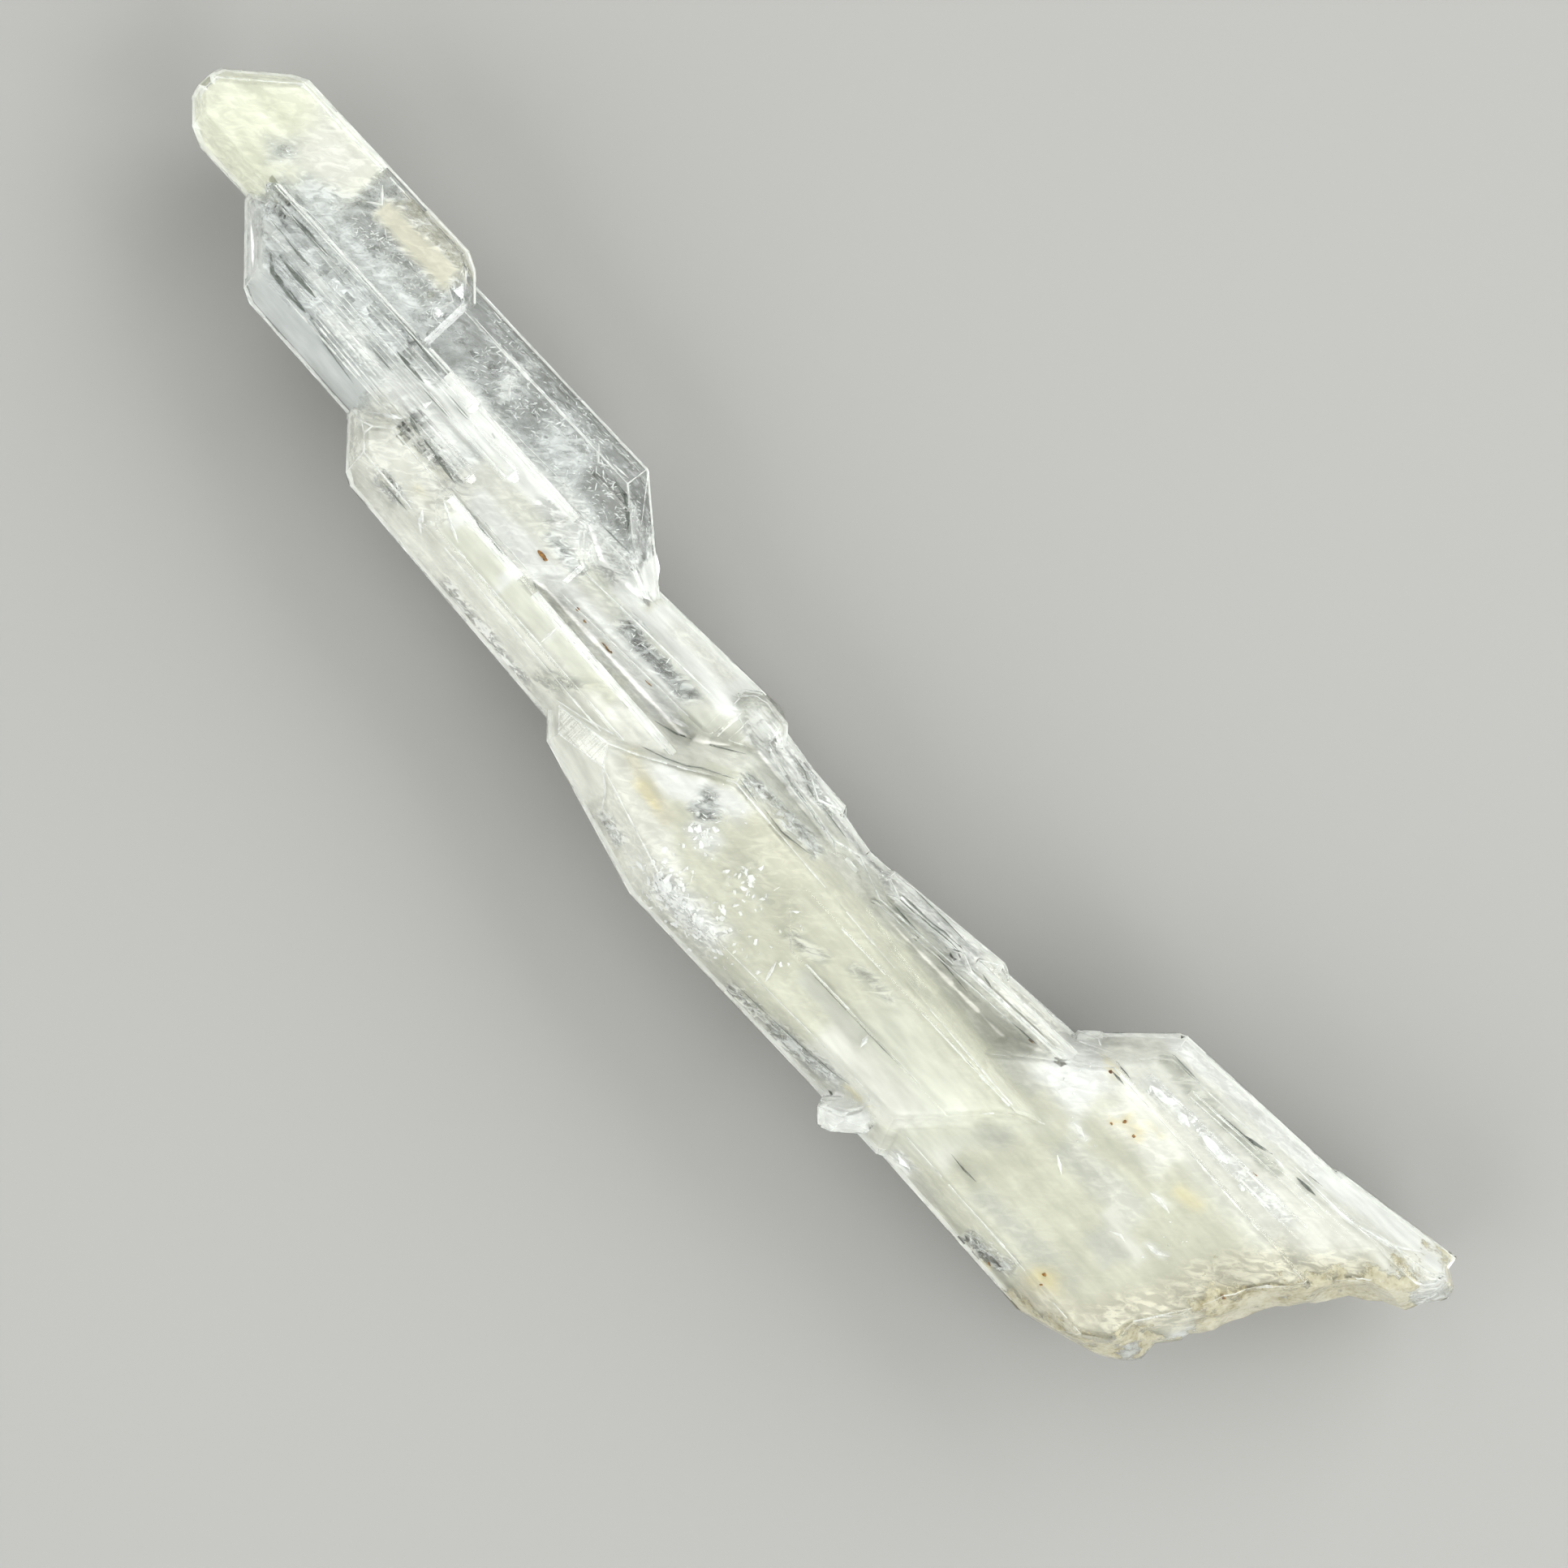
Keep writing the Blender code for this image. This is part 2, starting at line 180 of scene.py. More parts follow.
# Where the milk lies, seen from above, later places over earlier: centre x, y, half length, half
# width, turn in degrees, soft edge, milk, mottling, lengthwise lining and colour.
MILK_ZONES = (
    # the tip crystal: ivory head with one soft window, clear back half, a beige block along its edge
    (-22.5, 2.55, 2.8, 2.3, 0, 0.3, 0.95, 0.1, 0, IVORY),
    (-20.9, 3.2, 1.1, 0.9, 0, 0.5, 0.9, 0.15, 0, CREAM),
    (-20.2, 2.1, 0.7, 0.5, 20, 0.3, 0.6, 0.6, 0, AIR),
    (-22.0, 2.4, 0.4, 0.3, 50, 0.35, 0.25, 0.4, 0, AIR),
    (-17.3, 2.5, 2.3, 2.0, 0, 0.1, 0.2, 1, 0.1, AIR),
    (-17.4, 3.36, 1.5, 0.38, 0, 0.1, 0.85, 0.1, 0, BEIGE),
    (-17.8, 1.95, 1.7, 0.2, 0, 0.25, 0.65, 0.4, 0.3, AIR),
    # the striped blade: hazy, lined lengthwise, a smooth clear strip below and a white tip face
    (-16.6, 0.35, 4.9, 1.4, -1.4, 0.25, 0.5, 0.35, 0.9, AIR),
    (-17.6, -0.78, 2.3, 0.42, -1, 0.1, 0.62, 0, 0, AIR),
    (-20.6, 0.05, 1, 0.2, -42, 0.1, 0.9, 0, 0, WHITE),
    (-18.8, 0.5, 2.6, 0.1, -1, 0.1, 0.85, 0.2, 0.3, WHITE),
    (-15.6, 0.15, 2.2, 0.12, 0, 0.1, 0.85, 0.2, 0.3, WHITE),
    (-13.6, 0.6, 1.6, 0.9, -3, 0.5, 0.85, 0.1, 0.5, WHITE),
    # the clear blade: a window full of fine hairs, one soft patch, one end face made white with milk and
    # painted light
    (-10.1, 2.45, 5.1, 1.45, 0.6, 0.12, 0.17, 1, 0, AIR),
    (-10.3, 2.3, 0.8, 0.35, 0, 0.5, 0.5, 0.6, 0, AIR),
    (-8.3, 2.5, 1.1, 0.5, -10, 0.3, 0.08, 1, 0, AIR),
    (-12.7, 2.5, 0.15, 0.4, 20, 0.15, 0.9, 0.6, 0, WHITE),
    (-7.4, 3.25, 0.8, 0.35, -38, 0.12, 0.4, 0.1, 0, AIR),
    # the end face turns away from the lamps: its full white milk is partly painted light
    (-6.15, 2.15, 0.75, 0.32, -45, 0.1, 1, 0, 0, WHITE),
    # the thread: the whitest band through the middle, then the grey stripe beside it
    (-11.6, 1.2, 2.3, 0.5, -1, 0.2, 1, 0, 0.1, WHITE),
    (-7.5, 1.2, 2.2, 0.55, 0, 0.2, 0.8, 0.4, 0, WHITE),
    (-6.7, 0.42, 3.6, 0.22, 0, 0.08, 0.8, 0.15, 0.1, GREY),
    (-8.0, 0.4, 0.8, 0.18, -5, 0.15, 0.35, 0.9, 0, AIR),
    (-4.0, 0.22, 1.5, 0.34, -3, 0.3, 0.18, 1, 0, AIR),
    (-2.8, 0.6, 2.0, 0.12, 3, 0.1, 0.85, 0.1, 0, GREY),
    # the shoulder: clear windows behind its apex, a white middle carried with painted light over a shaded
    # groove, a mottled strip at its edge
    (-12.9, -1.2, 2.1, 1, 0, 0.3, 0.85, 0.2, 0, CREAM),
    (-13.2, -0.25, 0.8, 0.16, -4, 0.1, 0.1, 1, 0, AIR),
    (-12.0, -0.38, 0.6, 0.1, -2, 0.1, 0.2, 0.9, 0, AIR),
    (-12.2, -1.92, 1, 0.14, 0, 0.1, 0.12, 1, 0, AIR),
    # white milk, and towards its right end painted light that brightens the lower groove the walls shade
    (-6.4, -0.5, 4.6, 0.5, 0, 0.12, 1, 0.1, 0.1, WHITE),
    (-8.6, -0.9, 2.2, 0.1, -2, 0.1, 0.75, 0.3, 0, GREY),
    (-7.5, -1.43, 3.5, 0.36, 0, 0.06, 0.97, 0, 0, BODY),
    (-6.9, -1.03, 4.4, 0.07, -2, 0.08, 0.5, 0.3, 0, GREY),
    (-10.8, -1.2, 0.14, 0.3, 0, 0.06, 1, 0, 0, WHITE),
    (-8.62, -1.42, 0.17, 0.34, 0, 0.06, 1, 0, 0, WHITE),
    (-6.62, -1.45, 0.05, 0.3, 0, 0.06, 1, 0, 0, WHITE),
    (-4.5, -1.5, 0.5, 0.3, 28, 0.35, 0.85, 0.1, 0, PALE),
    (-8.8, -2.2, 3.6, 0.38, -1.5, 0.1, 1, 0.05, 0.1, CREAM),
    (-8.0, -2.7, 1.9, 0.14, -4, 0.14, 0.75, 0.7, 0, WHITE),
    (-5.5, -2.15, 0.7, 0.2, 22, 0.15, 0.6, 0.4, 0, GREY),
    # the back crystal: the brightest of all, with a rounded grey knob at its end
    (-3.4, 1.35, 3.0, 0.75, 1.5, 0.1, 1, 0, 0, WHITE),
    (-5.3, 1.2, 0.1, 0.3, 0, 0.2, 0.85, 0, 0, PALE),
    (-3.3, 1.25, 1.2, 0.2, 2, 0.3, 0.95, 0.1, 0, CREAM),
    # partly milk, partly painted light that fills the shade in the concave notch at the back crystal's end
    (-1.2, 0.75, 0.7, 0.15, 0, 0.15, 1, 0, 0, WHITE),
    (-0.75, 1.25, 0.75, 0.36, -8, 0.1, 0.55, 0.2, 0, GREY),
    # the main crystal: a grey tip face, a white corner, a brownish face, snow, then a long clean body
    (6.0, -2.0, 7.0, 2.4, 1, 0.4, 0.93, 0.05, 0.05, PALE),
    (-3.6, -3.0, 1.5, 0.8, -30, 0.2, 1, 0, 0, CREAM),
    (-0.8, -3.4, 1.6, 0.8, -20, 0.3, 0.9, 0.1, 0, CREAM),
    (-1.3, -3.85, 0.5, 0.14, -12, 0.12, 0.45, 0.8, 0, AIR),
    (-1.6, 0.2, 0.9, 0.3, 25, 0.3, 0.9, 0, 0, BODY),
    (-1.9, -0.87, 2.3, 0.36, 27, 0.06, 1, 0.05, 0.1, CREAM),
    (-0.7, -1.55, 1.1, 0.4, 25, 0.1, 1, 0.05, 0, WHITE),
    (0.6, -0.95, 0.6, 0.35, 0, 0.15, 1, 0.1, 0, WHITE),
    (0.6, -2.15, 0.5, 0.3, 0, 0.2, 1, 0.2, 0, WHITE),
    (-0.1, -1.35, 0.35, 0.2, -30, 0.12, 0.24, 0.7, 0, AIR),
    (0.25, -1.65, 0.4, 0.22, 35, 0.12, 0.26, 0.8, 0, AIR),
    (-0.1, -1.82, 0.3, 0.14, 0, 0.1, 0.26, 0.8, 0, AIR),
    (-1.5, -2.35, 1.2, 0.24, -12, 0.12, 0.8, 0.1, 0, BEIGE),
    (-1.3, -2.5, 0.35, 0.05, -10, 0.3, 1, 0.1, 0, STAIN),
    (2.3, -1.15, 1.1, 0.4, 0, 0.4, 0.85, 0.1, 0, BEIGE),
    (2.8, -1.8, 1.6, 0.8, 0, 0.5, 0.8, 0.1, 0.05, PALE),
    (1.9, -3.9, 1.2, 0.4, 0, 0.35, 0.9, 0.35, 0, WHITE),
    (9.6, -3.2, 2.6, 0.8, 8, 0.3, 1, 0, 0, CREAM),
    (9.4, -2.1, 1.9, 0.7, 0, 0.8, 0.97, 0, 0, BODY),
    (6.6, -2.8, 1.3, 0.24, 0, 0.08, 0.92, 0, 0, GREY),
    (6.9, -1.5, 0.8, 0.13, 5, 0.2, 0.6, 0.5, 0, GREY),
    (4.9, -2.2, 0.7, 0.12, 10, 0.2, 0.6, 0.6, 0, GREY),
    (6.3, 0.12, 6.2, 0.38, -1.5, 0.06, 0.82, 0.08, 0.1, GREY),
    (1.6, -0.22, 1.4, 0.18, 3, 0.12, 0.35, 0.95, 0.1, AIR),
    (2.5, -0.25, 0.7, 0.2, 0, 0.12, 0.5, 0.6, 0.1, AIR),
    (7.2, -4.2, 1.3, 0.18, 7, 0.2, 0.8, 0.8, 0.3, AIR),
    (5.2, -4.4, 0.9, 0.08, 7, 0.3, 0.5, 1, 0.3, AIR),
    (12.0, -2.3, 2.7, 0.35, 53, 0.4, 1, 0, 0, BODY),
    # the slivers along its upper edge
    (5.0, 0.95, 6.0, 0.36, -1, 0.12, 0.85, 0.2, 0.6, WHITE),
    (1.8, 0.95, 0.9, 0.14, -12, 0.1, 0.3, 0.9, 0.4, AIR),
    (10.4, 1, 1.7, 0.5, 2, 0.2, 0.95, 0.15, 0.3, CREAM),
    (10.9, 0.35, 1.5, 0.3, 0, 0.25, 1, 0, 0, CREAM),
    # the root block: duller milk with rounded ghosts, clear below, stained towards the break
    (16.4, -1.8, 3.7, 3.2, 0, 0.6, 0.84, 0.04, 0, PALE),
    (12.6, -1.5, 1.3, 0.12, 50, 0.3, 1, 0, 0, BODY),
    (12.5, -2.0, 0.5, 0.22, 50, 0.3, 0.75, 0.1, 0, GREY),
    (15.5, -0.6, 1.6, 0.45, 4, 0.25, 0.8, 0.1, 0, GREY),
    (17.0, -1.75, 0.6, 0.5, -10, 0.15, 0.75, 0.05, 0, GREY),
    (17.1, -1.2, 0.9, 0.2, -10, 0.15, 0.95, 0, 0, CREAM),
    (15.2, -3.3, 1.8, 0.3, 3, 0.4, 0.75, 0.1, 0, GREY),
    (14.9, -4.25, 0.8, 0.22, 10, 0.12, 0.3, 1, 0, AIR),
    (12.9, 0.95, 0.9, 0.9, 0, 0.3, 0.95, 0.1, 0, WHITE),
    (15.3, 1.1, 1.2, 0.5, 0, 0.3, 0.95, 0.1, 0, CREAM),
    (11.3, -4.3, 0.45, 0.2, 0, 0.1, 0.95, 0.2, 0, WHITE),
    (9.1, -4.7, 0.8, 0.6, 0, 0.2, 1, 0.05, 0, WHITE),
    # the root blade: white bands with a grey one between, and the fan beyond
    (17.6, 2.9, 4.4, 1.1, 5, 0.3, 0.92, 0.05, 0.1, CREAM),
    (17.0, 3.95, 3.3, 0.36, 4, 0.08, 1, 0.1, 0, WHITE),
    (16.5, 3.15, 2.4, 0.16, 2, 0.12, 0.7, 0.2, 0.1, GREY),
    (17.3, 2.45, 3.0, 0.16, 2, 0.1, 1, 0.25, 0.2, WHITE),
    (22.2, 4.55, 2.3, 0.36, 9, 0.1, 1, 0, 0.1, WHITE),
    (21.8, 3.4, 1.8, 0.7, 12, 0.3, 0.92, 0.05, 0.1, CREAM),
    (17.3, -3.95, 1.2, 0.45, 15, 0.3, 0.95, 0.1, 0, BEIGE),
    (19.2, -1.9, 1.8, 0.6, 66, 0.4, 0.85, 0.3, 0, BEIGE),
    (20.4, 0.4, 1.4, 0.8, 60, 0.4, 0.85, 0.3, 0, BEIGE),
    (22.0, 2.2, 1.3, 0.7, 50, 0.4, 0.8, 0.3, 0, BEIGE),
    # bright flashes at cracks in the root
    (17.1, 0.22, 0.35, 0.08, 2, 0.1, 1, 0, 0, WHITE),
    (18.0, -0.82, 0.35, 0.1, 15, 0.1, 1, 0, 0, WHITE),
    (14.0, -0.08, 0.3, 0.1, 0, 0.12, 1, 0.1, 0, WHITE),
    # clear glassy teeth where the break is fresh
    (20.5, -1.9, 0.9, 0.3, 66, 0.12, 0.95, 0.2, 0, AIR),
    (19.6, -3.3, 0.6, 0.4, 45, 0.12, 0.5, 0.4, 0, AIR),
    (24.3, 4.0, 0.9, 0.35, 60, 0.12, 0.5, 0.7, 0, AIR),
    # yellow stains that spread from grains of rust
    (14.75, 1.1, 0.05, 0.14, 0, 0.28, 1, 0, 0, STAIN),
    (15.2, 1.05, 0.05, 0.16, 20, 0.28, 1, 0, 0, STAIN),
    (14.5, 0.74, 0.08, 0.01, 0, 0.14, 0.95, 0, 0, STAIN),
    (13.35, 1.8, 0.14, 0.02, 0, 0.16, 0.95, 0, 0, STAIN),
    (15.4, 1.6, 0.35, 0.01, -3, 0.12, 0.9, 0, 0, STAIN),
    (17.6, 0.85, 0.3, 0.06, 12, 0.4, 1, 0, 0, STAIN),
    (16.5, -3.65, 0.3, 0.16, 30, 0.35, 1, 0, 0, STAIN),
    (15.1, -4.5, 0.12, 0.02, 0, 0.15, 0.9, 0.2, 0, STAIN),
    (20.3, -0.3, 0.15, 0.08, 60, 0.35, 0.9, 0.2, 0, STAIN),
    (-12.1, -0.65, 0.25, 0.01, 0, 0.14, 0.9, 0.2, 0, STAIN),
    (-12.2, -1.45, 0.2, 0.01, 0, 0.14, 0.9, 0.2, 0, STAIN),
    (-5.6, -0.5, 0.5, 0.01, 0, 0.12, 0.9, 0.1, 0, STAIN),
    (9.0, -4.0, 0.4, 0.03, 0, 0.15, 0.95, 0.1, 0, STAIN),
)
PLACED_ZONES = [(x, y, length, width, math.cos(math.radians(turn)), math.sin(math.radians(turn)), edge,
                 milk, mottle, lining, linear(tone))
                for x, y, length, width, turn, edge, milk, mottle, lining, tone in MILK_ZONES]
# The zones that reach each column, 1 mm wide, so that a point looks through only a few of them.
ZONES_AT = {
    column: [zone for zone in PLACED_ZONES
             if abs(zone[0] - column) < zone[2] + zone[3] + zone[6] + 0.5]
    for column in range(-27, 28)}
# Vector noise draws its own offsets at random, so they are seeded.
NOISE_SEED = 29
noise.seed_set(NOISE_SEED)


def cloud_at(point):
    """The milk, mottling and lining at a point, each from 0 to 1, and the milk's colour."""
    drift = 0.2 * noise.noise_vector(point / (0.9 * MM)) + 0.12 * noise.noise_vector(point / (0.35 * MM))
    px, py = point.x / MM + drift.x, point.y / MM + 0.6 * drift.y
    now = [*BETWEEN_ZONES] + linear(CREAM)[:3]
    for x, y, length, width, cos, sin, edge, milk, mottle, lining, tone in ZONES_AT[round(px)]:
        dx, dy = px - x, py - y
        if abs(dx) > length + width + edge or abs(dy) > length + width + edge:
            continue
        past, aside = abs(dx * cos + dy * sin) - length, abs(dy * cos - dx * sin) - width
        reach = math.hypot(max(past, 0), max(aside, 0)) + min(max(past, aside), 0)
        share = min(max(0.5 - reach / (2 * edge), 0), 1)
        share *= share * (3 - 2 * share)
        if share:
            now = [old + (new - old) * share for old, new in zip(now, (milk, mottle, lining, *tone))]
    now[0] = min(max(now[0] + 0.12 * noise.noise(point / (0.7 * MM)), 0), 1)
    return now


PUSHES = 5
# A point nearer to the skin than this share of the depth is a stray one.
LEAST_COVER = 0.35


def inner_shell(depth, cell):
    """An even mesh at one depth under the faces: remeshed, then pushed in and smoothed by turns."""
    maker = bpy.data.objects.new("maker", crystals.data)
    bpy.context.scene.collection.objects.link(maker)
    evenly = maker.modifiers.new("evenly", "REMESH")
    evenly.mode = "VOXEL"
    evenly.voxel_size = cell
    bm = bmesh.new()
    bm.from_mesh(maker.evaluated_get(bpy.context.evaluated_depsgraph_get()).to_mesh())
    bpy.data.objects.remove(maker)
    for push in range(PUSHES):
        for vert in bm.verts:
            near, normal, index, gap = skin_tree.find_nearest(vert.co)
            away = vert.co - near
            if away.dot(normal) >= 0 or gap < 1e-7:
                vert.co = near - normal * depth * 0.5
            elif gap < depth:
                vert.co += away / gap * (depth - gap) * 0.8
        bmesh.ops.smooth_vert(bm, verts=bm.verts, factor=0.35,
                              use_axis_x=True, use_axis_y=True, use_axis_z=True)
    stray = []
    for vert in bm.verts:
        near, normal, index, gap = skin_tree.find_nearest(vert.co)
        if (vert.co - near).dot(normal) > 0 or gap < LEAST_COVER * depth:
            stray.append(vert)
    bmesh.ops.delete(bm, geom=stray, context="VERTS")
    bmesh.ops.dissolve_degenerate(bm, dist=0.02 * MM, edges=bm.edges)
    return bm


# Milky quartz: it gives a soft matt white that hides what is behind it only as far as its cloud says,
# broken up by streaks, by a mottle of hairs and by lines along the blades.
milky_quartz, tree, out = new_material("milky_quartz")
cloud = add_node(tree, "ShaderNodeAttribute", {"attribute_name": "cloud"})
tone = add_node(tree, "ShaderNodeAttribute", {"attribute_name": "tone"})
amounts = add_node(tree, "ShaderNodeSeparateColor", {}, {"Color": cloud.outputs["Color"]})


def pattern(tree, spacing, low, high, least, most, detail=5.0, distortion=0.0, turn=0.0):
    """Noise stretched to three spacings in mm and turned, as a factor between least and most."""
    place = add_node(tree, "ShaderNodeTexCoord")
    stretched = add_node(tree, "ShaderNodeMapping", {
        "vector_type": "TEXTURE", "Scale": [gap * MM for gap in spacing],
        "Rotation": (0, 0, math.radians(turn))}, {"Vector": place.outputs["Object"]})
    grain = add_node(tree, "ShaderNodeTexNoise", {
        "Scale": 1.0, "Detail": detail, "Roughness": 0.6, "Distortion": distortion},
        {"Vector": stretched.outputs["Vector"]})
    return add_node(tree, "ShaderNodeMapRange", {
        "From Min": low, "From Max": high, "To Min": least, "To Max": most},
        {"Value": grain.outputs[0]}).outputs[0]


def shared(tree, amount, factor):
    """A factor that counts only as far as an amount says."""
    return add_node(tree, "ShaderNodeMix", {2: 1.0}, {0: amount, 3: factor}).outputs[0]


def times(tree, first, second):
    return add_node(tree, "ShaderNodeMath", {"operation": "MULTIPLY", "use_clamp": True},
                    {0: first, 1: second}).outputs[0]


# The real hairs are about 0.02 mm thick, too fine to show, so their mottle is drawn coarser.
streaks = pattern(tree, (3.0, 0.8, 0.9), 0.3, 0.7, 0.65, 1.2, detail=3.0)
hairs = pattern(tree, (0.6, 0.24, 0.3), 0.44, 0.62, 0.02, 2.6, detail=4.5, distortion=1.0, turn=38)
lining = pattern(tree, (7.0, 0.34, 0.6), 0.38, 0.6, 0.1, 1.6, detail=3.0)
solid = times(tree, times(tree, times(tree, amounts.outputs[0], shared(tree, amounts.outputs[1], hairs)),
                    shared(tree, amounts.outputs[2], lining)), streaks)
milk_body = add_node(tree, "ShaderNodeBsdfPrincipled", {"Roughness": 0.9, "Specular IOR Level": 0.0},
                     {"Base Color": tone.outputs["Color"], "Alpha": solid})
tree.links.new(milk_body.outputs["BSDF"], out.inputs["Surface"])
for number, (depth, cell) in enumerate(zip(SHELL_DEPTHS, SHELL_CELLS)):
    bm = inner_shell(depth * MM, cell * MM)
    cloud_layer = bm.verts.layers.float_color.new("cloud")
    tone_layer = bm.verts.layers.float_color.new("tone")
    empty = []
    for vert in bm.verts:
        milk, mottle, lines_here, *tint = cloud_at(vert.co)
        opacity = 1 - math.exp(-CLOUD_STRENGTH * milk ** CLOUD_CURVE)
        vert[cloud_layer] = (opacity, mottle, lines_here, 1)
        vert[tone_layer] = (*tint, 1)
        if opacity < FAINTEST:
            empty.append(vert)
    bmesh.ops.delete(bm, geom=empty, context="VERTS")
    keep(bm, f"milk_{number + 1}", milky_quartz, smooth=True)

# Edge lines: the sharp edges are minutely chipped. The fine white lines on them are that chipping together
# with a painted highlight where the edges catch the light, widest where two side faces meet at the outline.
# The real ones are about 0.02 mm wide, and are drawn wider so that they show. Widths, depths and steps are in
# mm, turns in degrees.
EDGE_LINE_WIDTH = 0.05
EDGE_LINE_DEPTH = 0.03
EDGE_LINE_STEP = 0.3
LEAST_TURN = 14
SHARP_TURN = 42
RIM_GAIN = 2.0
SHORTEST_EDGE = 0.25
BREAK_MARGIN = 0.9
# Where edges healed over and show no line: x, y and radius in mm.
HEALED = ((-1.65, 0.25, 0.75), (-0.75, 1.3, 0.75), (-0.05, 0.15, 0.5), (-19.8, 0.25, 0.5), (-21.3, 1.4, 0.25),
          (-21.1, 1.0, 0.25), (-11.7, 0.05, 0.4), (20.3, 2.2, 0.9), (4.5, -0.9, 0.6),
          (-8.2, 1.3, 0.35), (-7.7, 0.75, 0.4), (-7.6, 0.2, 0.4), (-7.7, -0.3, 0.4), (-8.1, -0.7, 0.35),
          (3.6, -1.3, 0.5), (3.9, -1.9, 0.45), (14.5, -0.9, 0.6), (13.4, 2.4, 0.3), (19.0, -4.2, 0.6),
          (18.6, -3.4, 0.6), (20.0, -2.6, 0.5), (19.4, -3.0, 0.5), (21.2, 0.1, 0.5), (20.7, -0.7, 0.4),
          (-15.25, 2.7, 0.45), (-15.25, 2.0, 0.45), (-15.3, 3.2, 0.3), (11.0, -3.3, 0.5), (11.8, -2.4, 0.6),
          (12.7, -1.4, 0.7), *((x, 2.4, 0.5) for x in (14.5, 15.3, 16.1, 16.9, 17.7)), (4.7, -2.4, 0.5),
          (20.6, 2.6, 0.6), (10.4, -3.6, 0.5), (10.5, -4.3, 0.4), (9.6, -3.8, 0.6))

# The broken end's outline, seen from above, as y and x in mm. The break itself is too rough for the white
# edge lines.
BREAK_LINE = (
    (-6.5, 16.2), (-4.95, 16.6), (-4.55, 18.1), (-4.3, 19.2), (-3.9, 19.7), (-3.4, 20.2), (-3.0, 20.3),
    (-2.6, 20.3), (-1.5, 21.0), (0.5, 21.8), (1.5, 22.7), (2.3, 23.1), (3.0, 23.8), (3.9, 24.8),
    (4.6, 25.2), (6.5, 24.6),
)


def is_healed(point):
    return any(math.hypot(point.x / MM - x, point.y / MM - y) < radius for x, y, radius in HEALED)


def short_lengths(start, end):
    """The middle and the length of each short part of an edge."""
    count = max(1, round((end - start).length / (EDGE_LINE_STEP * MM)))
    for step in range(count):
        low, high = start.lerp(end, step / count), start.lerp(end, (step + 1) / count)
        yield (low + high) / 2, (high - low).length


def break_x(y):
    """How far out the break stands at a y, both in mm."""
    return next(x0 + (x1 - x0) * (y - y0) / (y1 - y0)
                for (y0, x0), (y1, x1) in zip(BREAK_LINE, BREAK_LINE[1:]) if y <= y1)


# Chipped quartz with a painted edge highlight: it gives a broken, almost matt white line.
edge_frost_and_highlight, tree, out = new_material("edge_frost_and_highlight")
frost_highlight_body = add_node(tree, "ShaderNodeBsdfPrincipled", {
    "Base Color": linear("#fdfdfa"), "Roughness": 0.6, "Specular IOR Level": 0.3},
    {"Alpha": pattern(tree, (0.9, 0.9, 0.9), 0.36, 0.56, 0.3, 1.0)})
tree.links.new(frost_highlight_body.outputs["BSDF"], out.inputs["Surface"])
facets = faceted_copy("quartz_cluster")
facets.normal_update()
frost_highlight_bm = bmesh.new()
for edge in facets.edges:
    if len(edge.link_faces) != 2 or not edge.is_convex:
        continue
    angle = math.degrees(edge.calc_face_angle())
    if angle < LEAST_TURN or edge.calc_length() < SHORTEST_EDGE * MM:
        continue
    start, end = edge.verts[0].co, edge.verts[1].co
    inward = -(edge.link_faces[0].normal + edge.link_faces[1].normal).normalized()
    at_rim = abs(inward.z) < 0.3
    gain = RIM_GAIN if at_rim else min(0.3 + 0.6 * (angle - LEAST_TURN) / (SHARP_TURN - LEAST_TURN), 0.9)
    turn = (end - start).to_track_quat("Z", "Y").to_matrix().to_4x4()
    batch = bmesh.new()
    for middle, length in short_lengths(start, end):
        width = gain * EDGE_LINE_WIDTH * (0.75 + 0.9 * noise.noise(middle / (0.35 * MM)))
        if not at_rim:
            width *= min(max(0.7 + 1.6 * noise.noise(middle / (1.8 * MM)), 0), 1.1)
        if break_x(middle.y / MM) - middle.x / MM < BREAK_MARGIN or is_healed(middle):
            continue
        if width < 0.15 * EDGE_LINE_WIDTH:
            continue
        at = Matrix.Translation(middle + inward * (EDGE_LINE_DEPTH + width / 2) * MM) @ turn
        bmesh.ops.create_cone(batch, cap_ends=True, segments=4, radius1=width / 2 * MM,
                              radius2=width / 2 * MM, depth=length, matrix=at)
    pour(batch, frost_highlight_bm)
keep(frost_highlight_bm, "edge_frost_and_highlight", edge_frost_and_highlight)

# The rim: the wedge inside the outline is milky in its turn, and a painted glow makes it white, less so on
# the clear blades.
RIM_WIDTH = 0.4
RIM_THICKNESS = 0.07
RIM_INSET = 0.05
RIM_SHORTEST = 0.3
RIM_TURN = 35
RIM_MARGIN = 0.5

